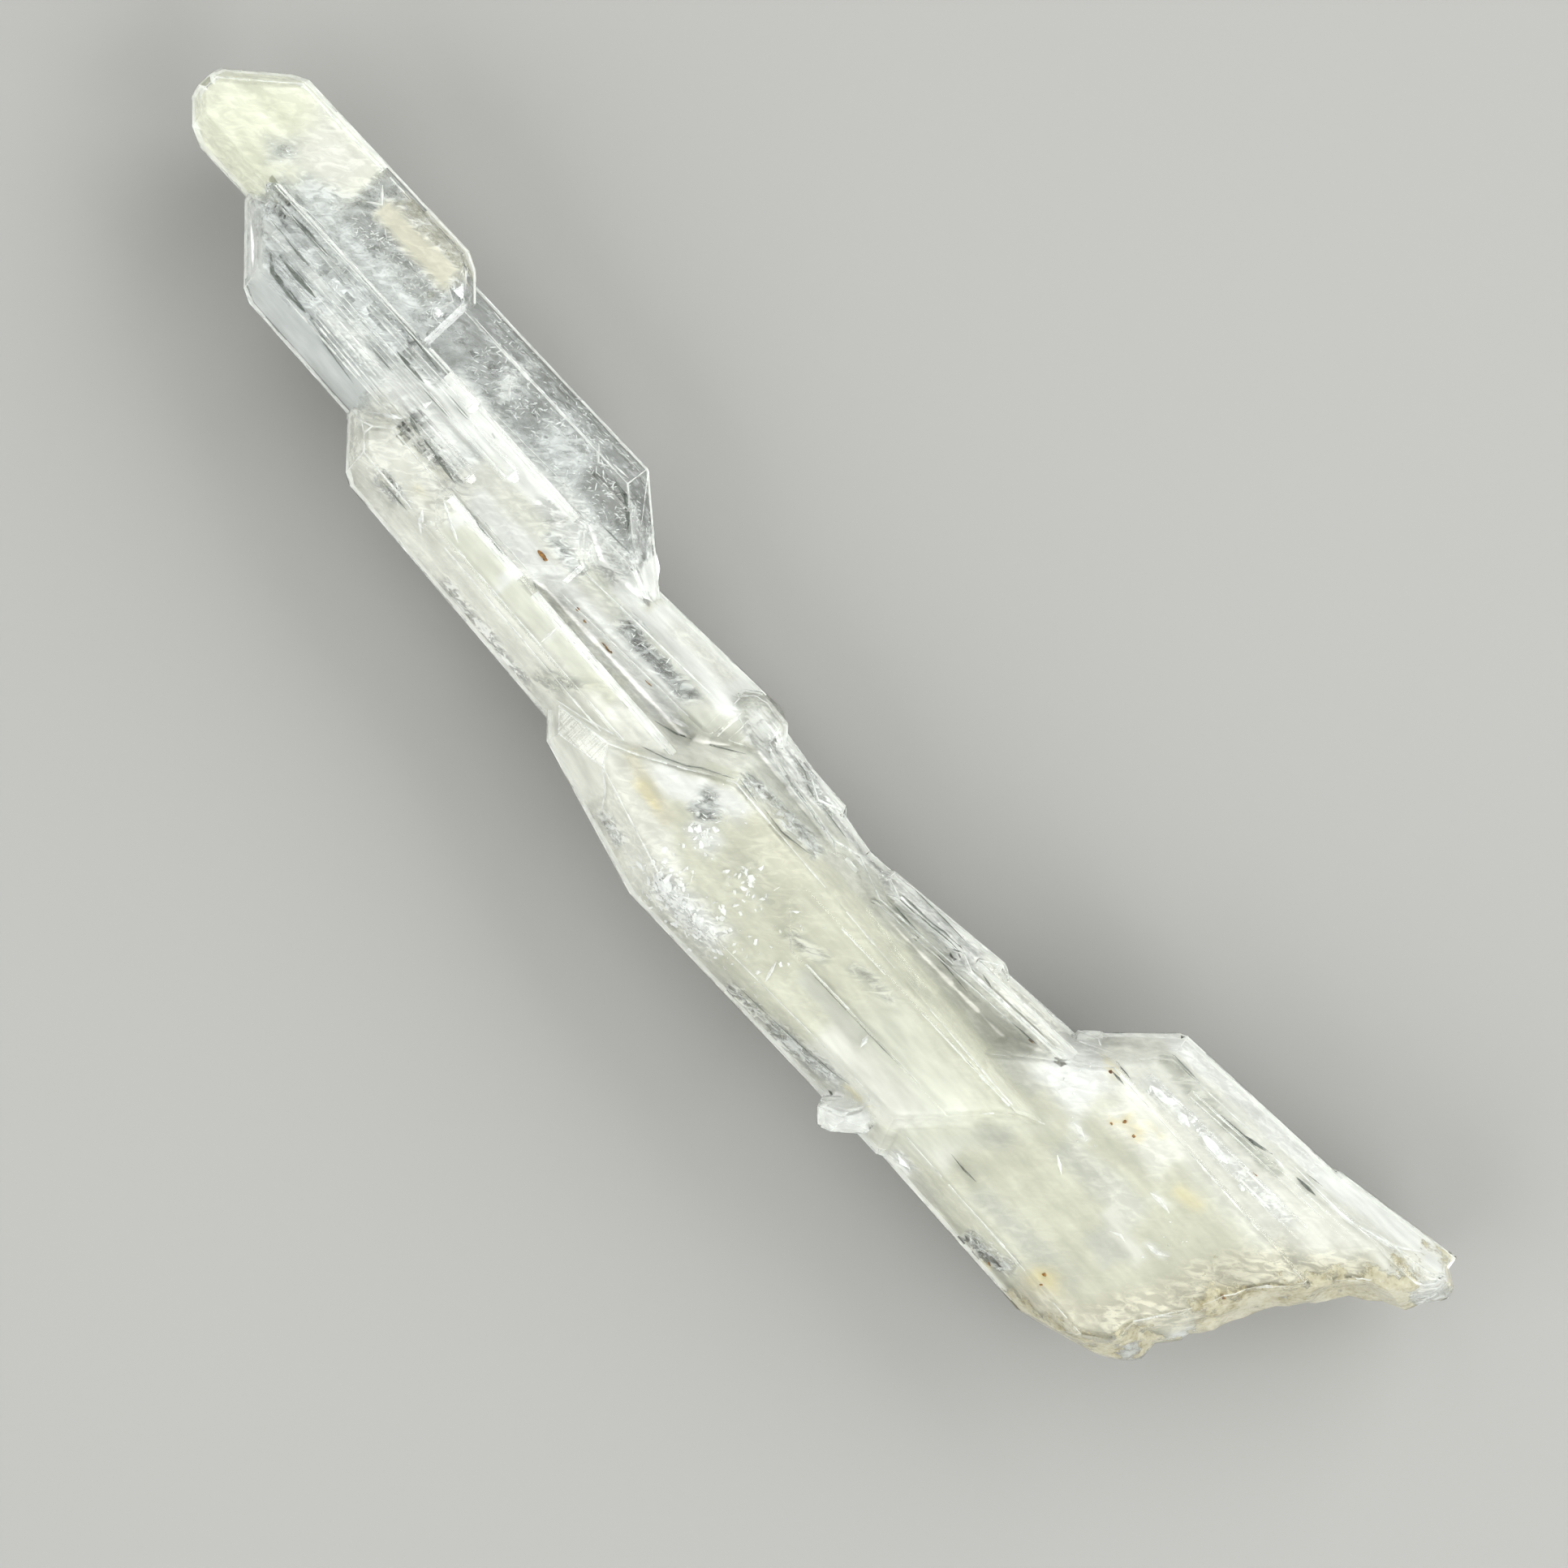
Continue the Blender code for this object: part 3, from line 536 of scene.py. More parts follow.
rim_glow_bm = bmesh.new()
for edge in facets.edges:
    if len(edge.link_faces) != 2 or not edge.is_convex or edge.calc_length() < RIM_SHORTEST * MM:
        continue
    start, end = edge.verts[0].co, edge.verts[1].co
    inward = -(edge.link_faces[0].normal + edge.link_faces[1].normal).normalized()
    if abs(inward.z) > 0.35 or math.degrees(edge.calc_face_angle()) < RIM_TURN:
        continue
    ahead = (end - start).normalized()
    turn = Matrix((inward, ahead.cross(inward), ahead)).transposed().to_4x4()
    batch = bmesh.new()
    for middle, length in short_lengths(start, end):
        width = RIM_WIDTH * max(cloud_at(middle + inward * 0.3 * MM)[0] - 0.35, 0.18) / 0.6
        if is_healed(middle) or break_x(middle.y / MM) - middle.x / MM < RIM_MARGIN:
            continue
        at = Matrix.Translation(middle + inward * (RIM_INSET + width / 2) * MM) @ turn
        bmesh.ops.create_cone(batch, cap_ends=True, segments=6, radius1=0.5, radius2=0.5, depth=length,
                              matrix=at @ Matrix.Diagonal((width * MM, RIM_THICKNESS * MM, 1, 1)))
    pour(batch, rim_glow_bm)
facets.free()

# Dense milk and a painted glow: it gives a solid matt white band inside the outline.
rim_milk_and_glow, tree, out = new_material("rim_milk_and_glow")
rim_glow_body = add_node(tree, "ShaderNodeBsdfPrincipled", {
    "Base Color": linear("#fefefa"), "Roughness": 0.9, "Specular IOR Level": 0.0},
    {"Alpha": pattern(tree, (0.9, 0.3, 0.3), 0.35, 0.62, 0.75, 1.0)})
tree.links.new(rim_glow_body.outputs["BSDF"], out.inputs["Surface"])
keep(rim_glow_bm, "rim_milk_and_glow", rim_milk_and_glow)

# Growth gaps: where blades grew side by side, slits of air are left between them. No light comes back
# out of them, so they are drawn as short dark lines of painted shade along the crystals.
GAPS = (
    # widths and points, in mm, of those in the striped blade
    (0.12, (-20.7, 0.82), (-19.9, 0.76), (-19.0, 0.68)),
    (0.15, (-20.0, 0.1), (-19.6, -0.2), (-18.8, -0.28), (-18.1, -0.3)),
    (0.13, (-19.8, 0.27), (-19.2, 0.22), (-18.2, 0.2)),
    (0.08, (-18.0, -0.25), (-16.9, -0.5), (-15.7, -0.65)),
    (0.09, (-20.4, 1.32), (-18.8, 1.3)),
    (0.2, (-21.7, 1.3), (-21.2, 1.5)),
    (0.16, (-21.6, 1.0), (-21.1, 0.95)),
    (0.06, (-16.3, 1.5), (-15.3, 1.45), (-14.2, 1.35)),
    (0.08, (-16.2, 0.45), (-15.2, 0.4)),
    (0.1, (-15.5, 0.85), (-14.3, 0.8)),
    (0.08, (-14.2, 0.7), (-13.1, 0.68)),
    (0.06, (-13.6, 1.05), (-12.7, 1.0)),
    # in the shoulder and the clear blade
    (0.17, (-13.9, -0.12), (-13.3, -0.3)),
    (0.08, (-13.2, -0.3), (-11.6, -0.5)),
    (0.12, (-13.1, -1.95), (-12.0, -2.0)),
    (0.05, (-8.0, 1.75), (-6.4, 1.8)),
    (0.09, (-8.7, 2.95), (-8.0, 2.75), (-7.4, 2.3), (-7.2, 2.1)),
    (0.09, (-10.9, -0.75), (-10.2, -0.87), (-9.2, -0.92)),
    (0.05, (-8.5, -0.75), (-7.8, -0.87)),
    (0.1, (-6.8, -0.37), (-6.5, -0.4)),
    # along the tip face of the main crystal and in its body
    (0.1, (-2.8, -1.0), (-2.1, -0.8), (-1.1, -0.25), (-0.3, 0.27)),
    (0.09, (-2.6, -1.8), (-1.8, -1.5), (-1.2, -1.2), (-0.9, -0.95), (0.0, -0.45)),
    (0.11, (-2.7, -1.4), (-2.4, -1.32)),
    (0.06, (0.1, -0.35), (0.9, -0.45)),
    (0.08, (1.2, -0.42), (2.0, -0.5), (3.0, -0.35)),
    (0.03, (5.4, -2.55), (7.4, -2.55), (9.3, -2.5)),
    (0.08, (4.2, -4.38), (5.5, -4.3), (8.0, -4.1)),
    (0.09, (7.3, -4.12), (8.0, -4.05), (8.6, -3.92)),
    # between the slivers of its upper edge
    (0.07, (0.6, 1.25), (1.2, 1.15), (1.5, 1.0)),
    (0.13, (1.5, 0.95), (1.9, 0.85)),
    (0.06, (2.1, 0.85), (2.7, 0.8), (3.4, 0.72)),
    (0.1, (5.7, 0.78), (6.9, 0.85), (7.3, 0.95), (7.9, 0.95)),
    (0.05, (5.8, 1.15), (7.2, 1.2), (8.0, 1.2)),
    (0.06, (5.7, 0.42), (6.9, 0.38)),
    (0.05, (7.6, 0.4), (9.0, 0.32)),
    (0.11, (8.9, 0.92), (9.4, 0.82)),
    (0.06, (10.4, 0.65), (11.4, 0.75)),
    # in the root blade and the root block
    (0.1, (13.1, 2.03), (14.0, 1.98)),
    (0.08, (13.4, 1.77), (14.0, 1.75)),
    (0.09, (13.9, 3.25), (14.3, 3.33), (15.4, 3.35)),
    (0.11, (16.1, 3.12), (17.4, 3.25), (18.3, 3.5)),
    (0.1, (19.2, 3.55), (20.0, 3.6)),
    (0.06, (19.4, 3.8), (20.0, 3.9)),
    (0.05, (12.0, -3.2), (12.6, -3.24), (13.1, -3.22)),
    (0.1, (13.2, -4.1), (13.45, -4.03)),
    (0.12, (19.3, -2.9), (19.9, -2.95)),
    (0.1, (19.5, -3.3), (19.9, -3.2)),
)
GAP_DEPTH = 0.14
GAP_HEIGHT = 0.14
# A line's points are this far apart, and it is broken where the top steps by more than this.
LINE_STEP = 0.25
TOP_STEP = 0.25


def top_at(x, y):
    """The height of the crystals' top surface over a place in mm, or None beside them."""
    found = skin_tree.ray_cast(Vector((x * MM, y * MM, 0.02)), Vector((0, 0, -1)))[0]
    return found.z / MM if found else None


def is_inside(point, margin):
    """True if a point lies in the quartz with at least a margin in mm of it on every side."""
    near, normal, index, gap = skin_tree.find_nearest(point)
    return (point - near).dot(normal) < 0 and gap >= margin * MM


def under_top(points, depth):
    """Runs of points along a line, a depth below the top, broken where it steps."""
    runs = [[]]
    for (x0, y0), (x1, y1) in zip(points, points[1:]):
        count = max(1, round(math.hypot(x1 - x0, y1 - y0) / LINE_STEP))
        for number in range(count + ((x1, y1) == points[-1])):
            share = number / count
            x, y = x0 + (x1 - x0) * share, y0 + (y1 - y0) * share
            top = top_at(x, y)
            if top is None:
                continue
            if runs[-1] and abs((top - depth) * MM - runs[-1][-1].z) > TOP_STEP * MM:
                runs.append([])
            runs[-1].append(Vector((x, y, top - depth)) * MM)
    return runs


def sliver_along(bm, points, width, height):
    """A thin four-sided sliver drawn along points, fullest in the middle and pointed at both ends."""
    batch, rings, last = bmesh.new(), [], len(points) - 1
    for number, point in enumerate(points):
        ahead = (points[min(number + 1, last)] - points[max(number - 1, 0)]).normalized()
        fullness = 0.15 + 0.85 * math.sqrt(max(math.sin(math.pi * number / last), 0)) if last else 1
        fullness *= 1 + 0.5 * noise.noise(point / (0.3 * MM))
        size = Matrix.Diagonal((height * fullness * MM, width * fullness * MM, 1, 1))
        at = Matrix.Translation(point) @ ahead.to_track_quat("Z", "X").to_matrix().to_4x4()
        ring = bmesh.ops.create_circle(batch, segments=4, radius=0.5, matrix=at @ size)
        rings.append({edge for vert in ring["verts"] for edge in vert.link_edges})
    for first, second in zip(rings, rings[1:]):
        bmesh.ops.bridge_loops(batch, edges=[*first, *second])
    bmesh.ops.holes_fill(batch, edges=[*rings[0], *rings[-1]], sides=4)
    bmesh.ops.recalc_face_normals(batch, faces=batch.faces)
    pour(batch, bm)


def slivers(table, depth, height):
    bm = bmesh.new()
    for width, *points in table:
        for run in under_top(points, depth):
            if len(run) > 2:
                sliver_along(bm, run, width, height)
    return bm


# Painted shade for the trapped air between quartz walls: a grey, half see-through line with a little gloss.
gap_shade, tree, out = new_material("gap_shade")
gap_shade_body = add_node(tree, "ShaderNodeBsdfPrincipled", {"Base Color": linear("#7a7f78"), "Roughness": 0.3},
                    {"Alpha": pattern(tree, (0.4, 0.1, 0.3), 0.38, 0.55, 0.1, 0.9)})
tree.links.new(gap_shade_body.outputs["BSDF"], out.inputs["Surface"])
keep(slivers(GAPS, GAP_DEPTH, GAP_HEIGHT), "gap_shade_lines", gap_shade)

# Growth seams: healed joins, steps and small cracks inside that throw the light back as white bars,
# lines and flashes.
SEAMS = (
    # round the clear blade
    (0.05, (-12.5, 1.68), (-10.8, 1.72), (-9.2, 1.8)),
    (0.08, (-9.7, 3.25), (-9.3, 2.9), (-9.0, 3.05)),
    (0.1, (-9.0, 3.15), (-8.4, 3.2), (-8.2, 3.5)),
    (0.07, (-14.6, 3.65), (-14.2, 3.62)),
    (0.08, (-14.8, 3.1), (-13.4, 3.08), (-12.0, 3.09), (-10.8, 3.08), (-9.8, 3.1)),
    (0.08, (-12.8, 2.8), (-12.6, 2.5), (-12.3, 2.2)),
    (0.06, (-12.9, 2.3), (-12.6, 2.6), (-12.4, 2.75)),
    # a wide white sliver on that end face, also painted light
    (0.25, (-6.35, 2.35), (-6.0, 2.05), (-5.75, 1.85)),
    # in the tip crystal
    (0.08, (-16.0, 3.9), (-15.6, 3.6), (-15.3, 3.9), (-15.2, 3.7)),
    (0.06, (-15.9, 3.2), (-15.5, 3.0), (-15.6, 2.5)),
    (0.07, (-19.3, 3.8), (-18.9, 3.4), (-19.3, 3.1)),
    (0.06, (-19.0, 3.8), (-18.8, 3.6)),
    (0.05, (-20.9, 1.5), (-20.2, 1.7), (-19.5, 1.76)),
    (0.16, (-21.2, 0.4), (-20.6, -0.02), (-20.1, -0.5)),
    # in the shoulder: its apex, a slash across the window and the bars across its length
    (0.14, (-15.0, -1.0), (-14.4, -0.6), (-14.0, -0.35)),
    (0.12, (-11.7, -1.7), (-11.4, -2.05), (-11.2, -2.2)),
    (0.09, (-11.5, -1.05), (-11.0, -1.3), (-10.3, -1.6)),
    (0.08, (-6.62, -1.2), (-6.62, -1.8)),
    # the outline of the rounded knob
    (0.07, (-1.6, 1.0), (-1.62, 1.3), (-1.35, 1.6), (-0.95, 1.72), (-0.5, 1.62)),
    (0.05, (-1.5, 0.95), (-1.2, 0.85), (-0.9, 0.8)),
    (0.25, (-3.3, -0.75), (-2.6, -0.55), (-2.0, -0.35)),
    # in the main crystal
    (0.07, (-3.0, -2.75), (-2.3, -3.3), (-1.9, -3.85)),
    (0.08, (-5.2, -2.6), (-4.0, -2.3), (-3.0, -2.0)),
    (0.1, (4.6, -3.1), (4.8, -3.7)),
    (0.15, (7.9, -2.6), (8.0, -3.0)),
    (0.2, (6.25, -0.45), (6.1, -0.62)),
    (0.09, (3.8, -1.8), (3.95, -2.0)),
    (0.14, (7.75, 0.75), (8.0, 0.76), (8.2, 0.76)),
    # in the root block
    (0.13, (16.7, 0.2), (17.1, 0.25), (17.5, 0.2)),
    (0.13, (17.7, -0.88), (18.1, -0.82), (18.4, -0.65)),
    (0.1, (16.7, -1.4), (17.0, -1.25), (17.25, -1.28)),
    (0.12, (13.7, -0.05), (14.0, -0.05), (14.3, -0.12)),
    (0.13, (14.1, -1.0), (14.6, -1.3)),
    (0.12, (16.0, 0.9), (16.3, 0.78)),
    (0.3, (11.0, -4.3), (11.6, -4.35)),
    # in the root blade
    (0.22, (14.5, 2.3), (15.3, 2.33)),
    (0.24, (15.5, 2.36), (16.1, 2.3)),
    (0.25, (16.4, 2.42), (17.6, 2.38)),
    (0.1, (18.4, 3.47), (18.9, 3.45)),
    (0.08, (19.0, 3.7), (20.8, 3.75), (22.0, 3.9)),
    (0.12, (21.5, 3.9), (22.6, 4.2), (23.4, 4.75)),
    (0.06, (15.5, 3.6), (15.5, 4.1)),
    (0.06, (16.2, 3.6), (16.25, 4.15)),
    (0.08, (17.1, 3.65), (17.1, 4.15)),
    (0.06, (17.9, 3.65), (17.95, 4.2)),
    (0.1, (18.7, 3.75), (18.7, 4.2)),
    (0.06, (19.4, 4.0), (19.4, 4.3)),
)
SEAM_DEPTH = 0.11
SEAM_HEIGHT = 0.12

# Healed quartz: it gives a bright white line, glossier than the milk and patchy along its length.
growth_seam, tree, out = new_material("growth_seam")
seam_body = add_node(tree, "ShaderNodeBsdfPrincipled", {"Base Color": linear("#fefefc"), "Roughness": 0.35},
                     {"Alpha": pattern(tree, (0.4, 0.3, 0.3), 0.3, 0.55, 0.5, 1.0)})
tree.links.new(seam_body.outputs["BSDF"], out.inputs["Surface"])
keep(slivers(SEAMS, SEAM_DEPTH, SEAM_HEIGHT), "growth_seams", growth_seam)

# The thread itself: where the crystals cracked and healed again and again as they grew, slanting white
# plumes cross the band between the clear blade and the shoulder.
PLUMES = 110
PLUME_SPAN = ((-9.6, -5.7), (0.75, 1.65))
PLUME_SLANT = (34, 56)
PLUME_LENGTH = (0.35, 0.95)
PLUME_BOW = (-0.08, 0.08)
PLUME_DEPTH = (0.13, 0.8)
PLUME_WIDTH = (0.025, 0.09)
PLUME_HEIGHT = (0.1, 0.4)
chance = random.Random(11)


def place_under(x, y, depths):
    """A place at a random depth under the top, or None where there is no crystal."""
    top = top_at(x, y)
    if top is not None:
        return Vector((x, y, top - chance.uniform(*depths)))


thread_bm = bmesh.new()
for number in range(PLUMES):
    x, y = chance.uniform(*PLUME_SPAN[0]), chance.uniform(*PLUME_SPAN[1])
    slant, length = math.radians(chance.uniform(*PLUME_SLANT)), chance.uniform(*PLUME_LENGTH)
    reach = Vector((math.cos(slant), math.sin(slant), 0)) * length / 2
    bow = Vector((-math.sin(slant), math.cos(slant), 0)) * chance.uniform(*PLUME_BOW)
    centre = place_under(x, y, PLUME_DEPTH)
    if centre is None:
        continue
    line = [(centre + reach * (2 * share - 1) + bow * math.sin(math.pi * share)) * MM
            for share in (0, 0.2, 0.4, 0.6, 0.8, 1)]
    if not all(is_inside(point, 0.1) for point in line):
        continue
    sliver_along(thread_bm, line, chance.uniform(*PLUME_WIDTH), chance.uniform(*PLUME_HEIGHT))
keep(thread_bm, "faden_thread", growth_seam)

# Splinters: hair-fine tubes and flakes of fluid that fill the clear windows with a glittering mottle.
# The real ones are thinner than 0.01 mm, and are drawn thicker so that they show.
HAIR_FIELDS = (
    # count, then the window's corners: least and most x, least and most y
    (340, -14.0, -6.9, 1.85, 3.0),
    (150, -14.5, -8.5, 3.15, 3.7),
    (230, -19.3, -15.3, 2.0, 2.95),
    (60, -22.3, -21.6, 2.1, 2.8),
    (120, -19.5, -15.5, 0.1, 1.6),
    (110, -5.9, -2.7, -0.15, 0.5),
    (60, -13.9, -11.6, -0.45, -0.05),
    (60, -13.5, -11.2, -2.1, -1.75),
    (60, -9.8, -6.2, -2.85, -2.55),
    (70, 0.1, 3.2, -0.45, 0.0),
    (60, -0.4, 0.7, -2.1, -1.1),
    (90, 4.4, 8.6, -4.6, -4.05),
    (50, 14.2, 15.7, -4.5, -4.0),
    (70, 0.6, 3.3, 0.7, 1.2),
    (60, 8.8, 11.8, 0.5, 1.3),
)
HAIR_DEPTH = (0.15, 1.1)
HAIR_LENGTH = (0.04, 0.14)
HAIR_WIDTH = (0.008, 0.024)
HAIR_THICKNESS = (0.01, 0.024)
chance = random.Random(23)

hair_bm = bmesh.new()
for count, x0, x1, y0, y1 in HAIR_FIELDS:
    batch = bmesh.new()
    for number in range(count):
        spot = place_under(chance.uniform(x0, x1), chance.uniform(y0, y1), HAIR_DEPTH)
        if spot is None:
            continue
        length = chance.uniform(*HAIR_LENGTH)
        if not is_inside(spot * MM, length + 0.05):
            continue
        turn = Matrix.Rotation(chance.gauss(0.6, 0.7), 4, "Z") @ Matrix.Rotation(chance.gauss(0, 0.4), 4, "Y")
        size = Matrix.Diagonal((length, chance.uniform(*HAIR_WIDTH), chance.uniform(*HAIR_THICKNESS), 1))
        bmesh.ops.create_icosphere(batch, subdivisions=1, radius=MM,
                                   matrix=Matrix.Translation(spot * MM) @ turn @ size)
    pour(batch, hair_bm)

# Fluid films: they give tiny bright glints.
splinter, tree, out = new_material("fluid_splinter")
splinter_body = add_node(tree, "ShaderNodeBsdfPrincipled", {
    "Base Color": linear("#fdfefd"), "Roughness": 0.25})
tree.links.new(splinter_body.outputs["BSDF"], out.inputs["Surface"])
keep(hair_bm, "splinters", splinter)

# Snow: heaps of small jagged flakes of cracked quartz in the main crystal's lower corner.
SNOW_HEAPS = (
    # count, centre x, y, spread along x, y, and the largest flake
    (320, 1.7, -3.95, 0.8, 0.34, 0.22),
    (90, 0.9, -3.7, 0.3, 0.3, 0.26),
    (120, 2.4, -2.25, 0.4, 0.25, 0.22),
    (90, 2.9, -3.4, 0.5, 0.4, 0.18),
    (50, 4.4, -2.6, 0.6, 0.5, 0.12),
    (90, 0.6, -2.2, 0.3, 0.3, 0.2),
    (30, 0.3, -1.0, 0.4, 0.25, 0.12),
    (25, 11.3, -4.3, 0.25, 0.15, 0.1),
    (30, 14.0, -0.1, 0.25, 0.12, 0.09),
    (30, 12.5, 0.8, 0.5, 0.4, 0.09),
    (90, 16.3, 2.4, 1.2, 0.1, 0.2),
    (25, 17.8, -0.6, 0.5, 0.4, 0.09),
)
SNOW_DEPTH = (0.12, 0.7)
# A flake's length, width and thickness for its radius, and how far its corners are pulled about.
FLAKE_SHAPE = (1.5, 0.9, 0.3)
FLAKE_JAG = 0.8
chance = random.Random(5)

snow_bm = bmesh.new()
for count, x0, y0, spread_x, spread_y, largest in SNOW_HEAPS:
    batch = bmesh.new()
    for number in range(count):
        spot = place_under(chance.gauss(x0, spread_x), chance.gauss(y0, spread_y), SNOW_DEPTH)
        if spot is None or not is_inside(spot * MM, 0.13):
            continue
        radius = largest * chance.uniform(0.25, 1.0) * 0.5
        turn = Matrix.Rotation(chance.uniform(0, 6.3), 4, Vector((chance.gauss(0, 1), chance.gauss(0, 1), 1)))
        size = Matrix.Diagonal([radius * share for share in FLAKE_SHAPE] + [1])
        flake = bmesh.ops.create_icosphere(batch, subdivisions=1, radius=MM,
                                           matrix=Matrix.Translation(spot * MM) @ turn @ size)
        for vert in flake["verts"]:
            vert.co += noise.noise_vector(vert.co / (0.03 * MM)) * radius * FLAKE_JAG * MM
    pour(batch, snow_bm)

# Fresh cracks in quartz: they give the brightest white, with small sharp glints.
snow, tree, out = new_material("quartz_snow")
snow_body = add_node(tree, "ShaderNodeBsdfPrincipled", {
    "Base Color": linear("#fefefd"), "Roughness": 0.3})
tree.links.new(snow_body.outputs["BSDF"], out.inputs["Surface"])
keep(snow_bm, "snow", snow)

# Rust: grains of iron oxide that the growing faces caught and sealed in. Some stained the quartz round
# them yellow, which the milk's zones give.
RUST_GRAINS = (
    # x, y, length, width, turn
    (-8.45, -0.08, 0.36, 0.13, 0), (-8.3, -0.1, 0.16, 0.11, 20), (-6.23, -0.45, 0.15, 0.11, 0),
    (-5.2, -0.52, 0.24, 0.1, -5), (-5.35, -0.5, 0.3, 0.05, 0), (-5.08, -0.5, 0.07, 0.11, 60),
    (-3.7, -0.33, 0.3, 0.05, 5), (18.35, 2.72, 0.24, 0.06, 15), (11.25, 0.7, 0.22, 0.08, 10),
    (13.4, 1.73, 0.12, 0.1, 0), (16.5, -3.87, 0.1, 0.06, 40), (15.15, -4.55, 0.16, 0.1, -30),
    (16.35, -3.6, 0.14, 0.1, 30), (-6.62, -0.38, 0.12, 0.05, 0), (14.72, 1.05, 0.14, 0.1, 80),
    (15.2, 0.95, 0.12, 0.1, 40), (14.5, 0.74, 0.12, 0.06, 0), (20.3, -0.3, 0.16, 0.12, 0),
)
GRAIN_DEPTH = 0.13
GRAIN_THICKNESS = 0.08
GRAIN_ROUGHNESS = 0.025

rust_bm = bmesh.new()
for x, y, length, width, turn in RUST_GRAINS:
    at = Matrix.Translation(Vector((x, y, top_at(x, y) - GRAIN_DEPTH)) * MM)
    size = Matrix.Diagonal((length / 2, width / 2, GRAIN_THICKNESS / 2, 1))
    grain = bmesh.ops.create_icosphere(rust_bm, subdivisions=2, radius=MM,
                                       matrix=at @ Matrix.Rotation(math.radians(turn), 4, "Z") @ size)
    for vert in grain["verts"]:
        vert.co += noise.noise_vector(vert.co / (0.06 * MM)) * GRAIN_ROUGHNESS * MM


def set_stops(ramp, stops):
    """Gives a colour ramp its stops: rising positions and their colours."""
    for number, (position, colour) in enumerate(stops):
        if number > 1:
            ramp.elements.new(position)
        ramp.elements[number].position = position
        ramp.elements[number].color = colour


# Iron oxide: it gives blotches from dark brown to ochre with a dull sheen.
rust, tree, out = new_material("iron_oxide")
place = add_node(tree, "ShaderNodeTexCoord")
blotches = add_node(tree, "ShaderNodeTexNoise", {"Scale": 1 / (0.08 * MM), "Detail": 3.0},
                    {"Vector": place.outputs["Object"]})
rust_tone = add_node(tree, "ShaderNodeValToRGB", {}, {"Fac": blotches.outputs[0]})
set_stops(rust_tone.color_ramp, ((0.35, linear("#5c3510")), (0.65, linear("#b5802c"))))
rust_body = add_node(tree, "ShaderNodeBsdfPrincipled", {"Roughness": 0.45},
                     {"Base Color": rust_tone.outputs["Color"]})
tree.links.new(rust_body.outputs["BSDF"], out.inputs["Surface"])
keep(rust_bm, "rust_grains", rust, smooth=True)

# The root crust: the break has weathered to a thin grainy skin of beige and brown earth with white
# veins, worn through where glassy teeth stand out.
# Its depth, the size of its mesh and how far it reaches back from the break, in mm.
CRUST_DEPTH = 0.07
CRUST_CELL = 0.16
CRUST_REACH = 1.8
# The teeth's x, y and radius in mm.
GLASSY_TEETH = ((20.1, -2.1, 1.1), (19.8, -3.4, 0.6), (24.5, 4.2, 1.0))


def crust_at(point):
    """How thick the crust is at a point, from 0 to 1."""
    x, y = point.x / MM, point.y / MM
    amount = 1.2 - (break_x(y) - x) / CRUST_REACH + 0.6 * noise.noise(point / (0.8 * MM))
    for tooth_x, tooth_y, radius in GLASSY_TEETH:
        amount -= max(0, 1.1 - math.hypot(x - tooth_x, y - tooth_y) / radius)
    return min(max(amount, 0), 1)


crust_bm = inner_shell(CRUST_DEPTH * MM, CRUST_CELL * MM)
crust_layer = crust_bm.verts.layers.float_color.new("crust")
bare = []
for vert in crust_bm.verts:
    amount = crust_at(vert.co)
    vert[crust_layer] = (amount, amount, amount, 1)
    if amount <= 0:
        bare.append(vert)
bmesh.ops.delete(crust_bm, geom=bare, context="VERTS")

# Weathered earth on quartz: it gives a dry, dusty beige with grains of about 0.2 mm and bare patches.
earthy_crust, tree, out = new_material("earthy_crust")
crust = add_node(tree, "ShaderNodeAttribute", {"attribute_name": "crust"})
broad = pattern(tree, (1.3, 0.9, 0.9), 0.3, 0.7, 0.0, 0.5)
fine = pattern(tree, (0.16, 0.16, 0.16), 0.3, 0.7, 0.0, 0.5, detail=6.0)
mixed = add_node(tree, "ShaderNodeMath", {"operation": "ADD"}, {0: broad, 1: fine}).outputs[0]
paler = add_node(tree, "ShaderNodeMath", {"operation": "MULTIPLY_ADD", 1: 0.3},
                 {0: crust.outputs["Fac"], 2: mixed})
crust_tone = add_node(tree, "ShaderNodeValToRGB", {}, {"Fac": paler.outputs[0]})
set_stops(crust_tone.color_ramp, (
    (0.4, linear("#aba07e")), (0.65, linear("#d2cbb0")), (0.95, linear("#e9e4d2"))))
grains = pattern(tree, (0.5, 0.35, 0.35), 0.3, 0.7, 0.0, 1.0, detail=6.0)
patches = add_node(tree, "ShaderNodeMath", {"operation": "ADD"}, {0: crust.outputs["Fac"], 1: grains})
worn = add_node(tree, "ShaderNodeMapRange", {
    "From Min": 0.8, "From Max": 1.1, "To Min": 0.0, "To Max": 0.85}, {"Value": patches.outputs[0]})
crust_body = add_node(tree, "ShaderNodeBsdfPrincipled", {"Roughness": 0.9, "Specular IOR Level": 0.1},
                      {"Base Color": crust_tone.outputs["Color"], "Alpha": worn.outputs[0]})
tree.links.new(crust_body.outputs["BSDF"], out.inputs["Surface"])
keep(crust_bm, "root_crust", earthy_crust, smooth=True)

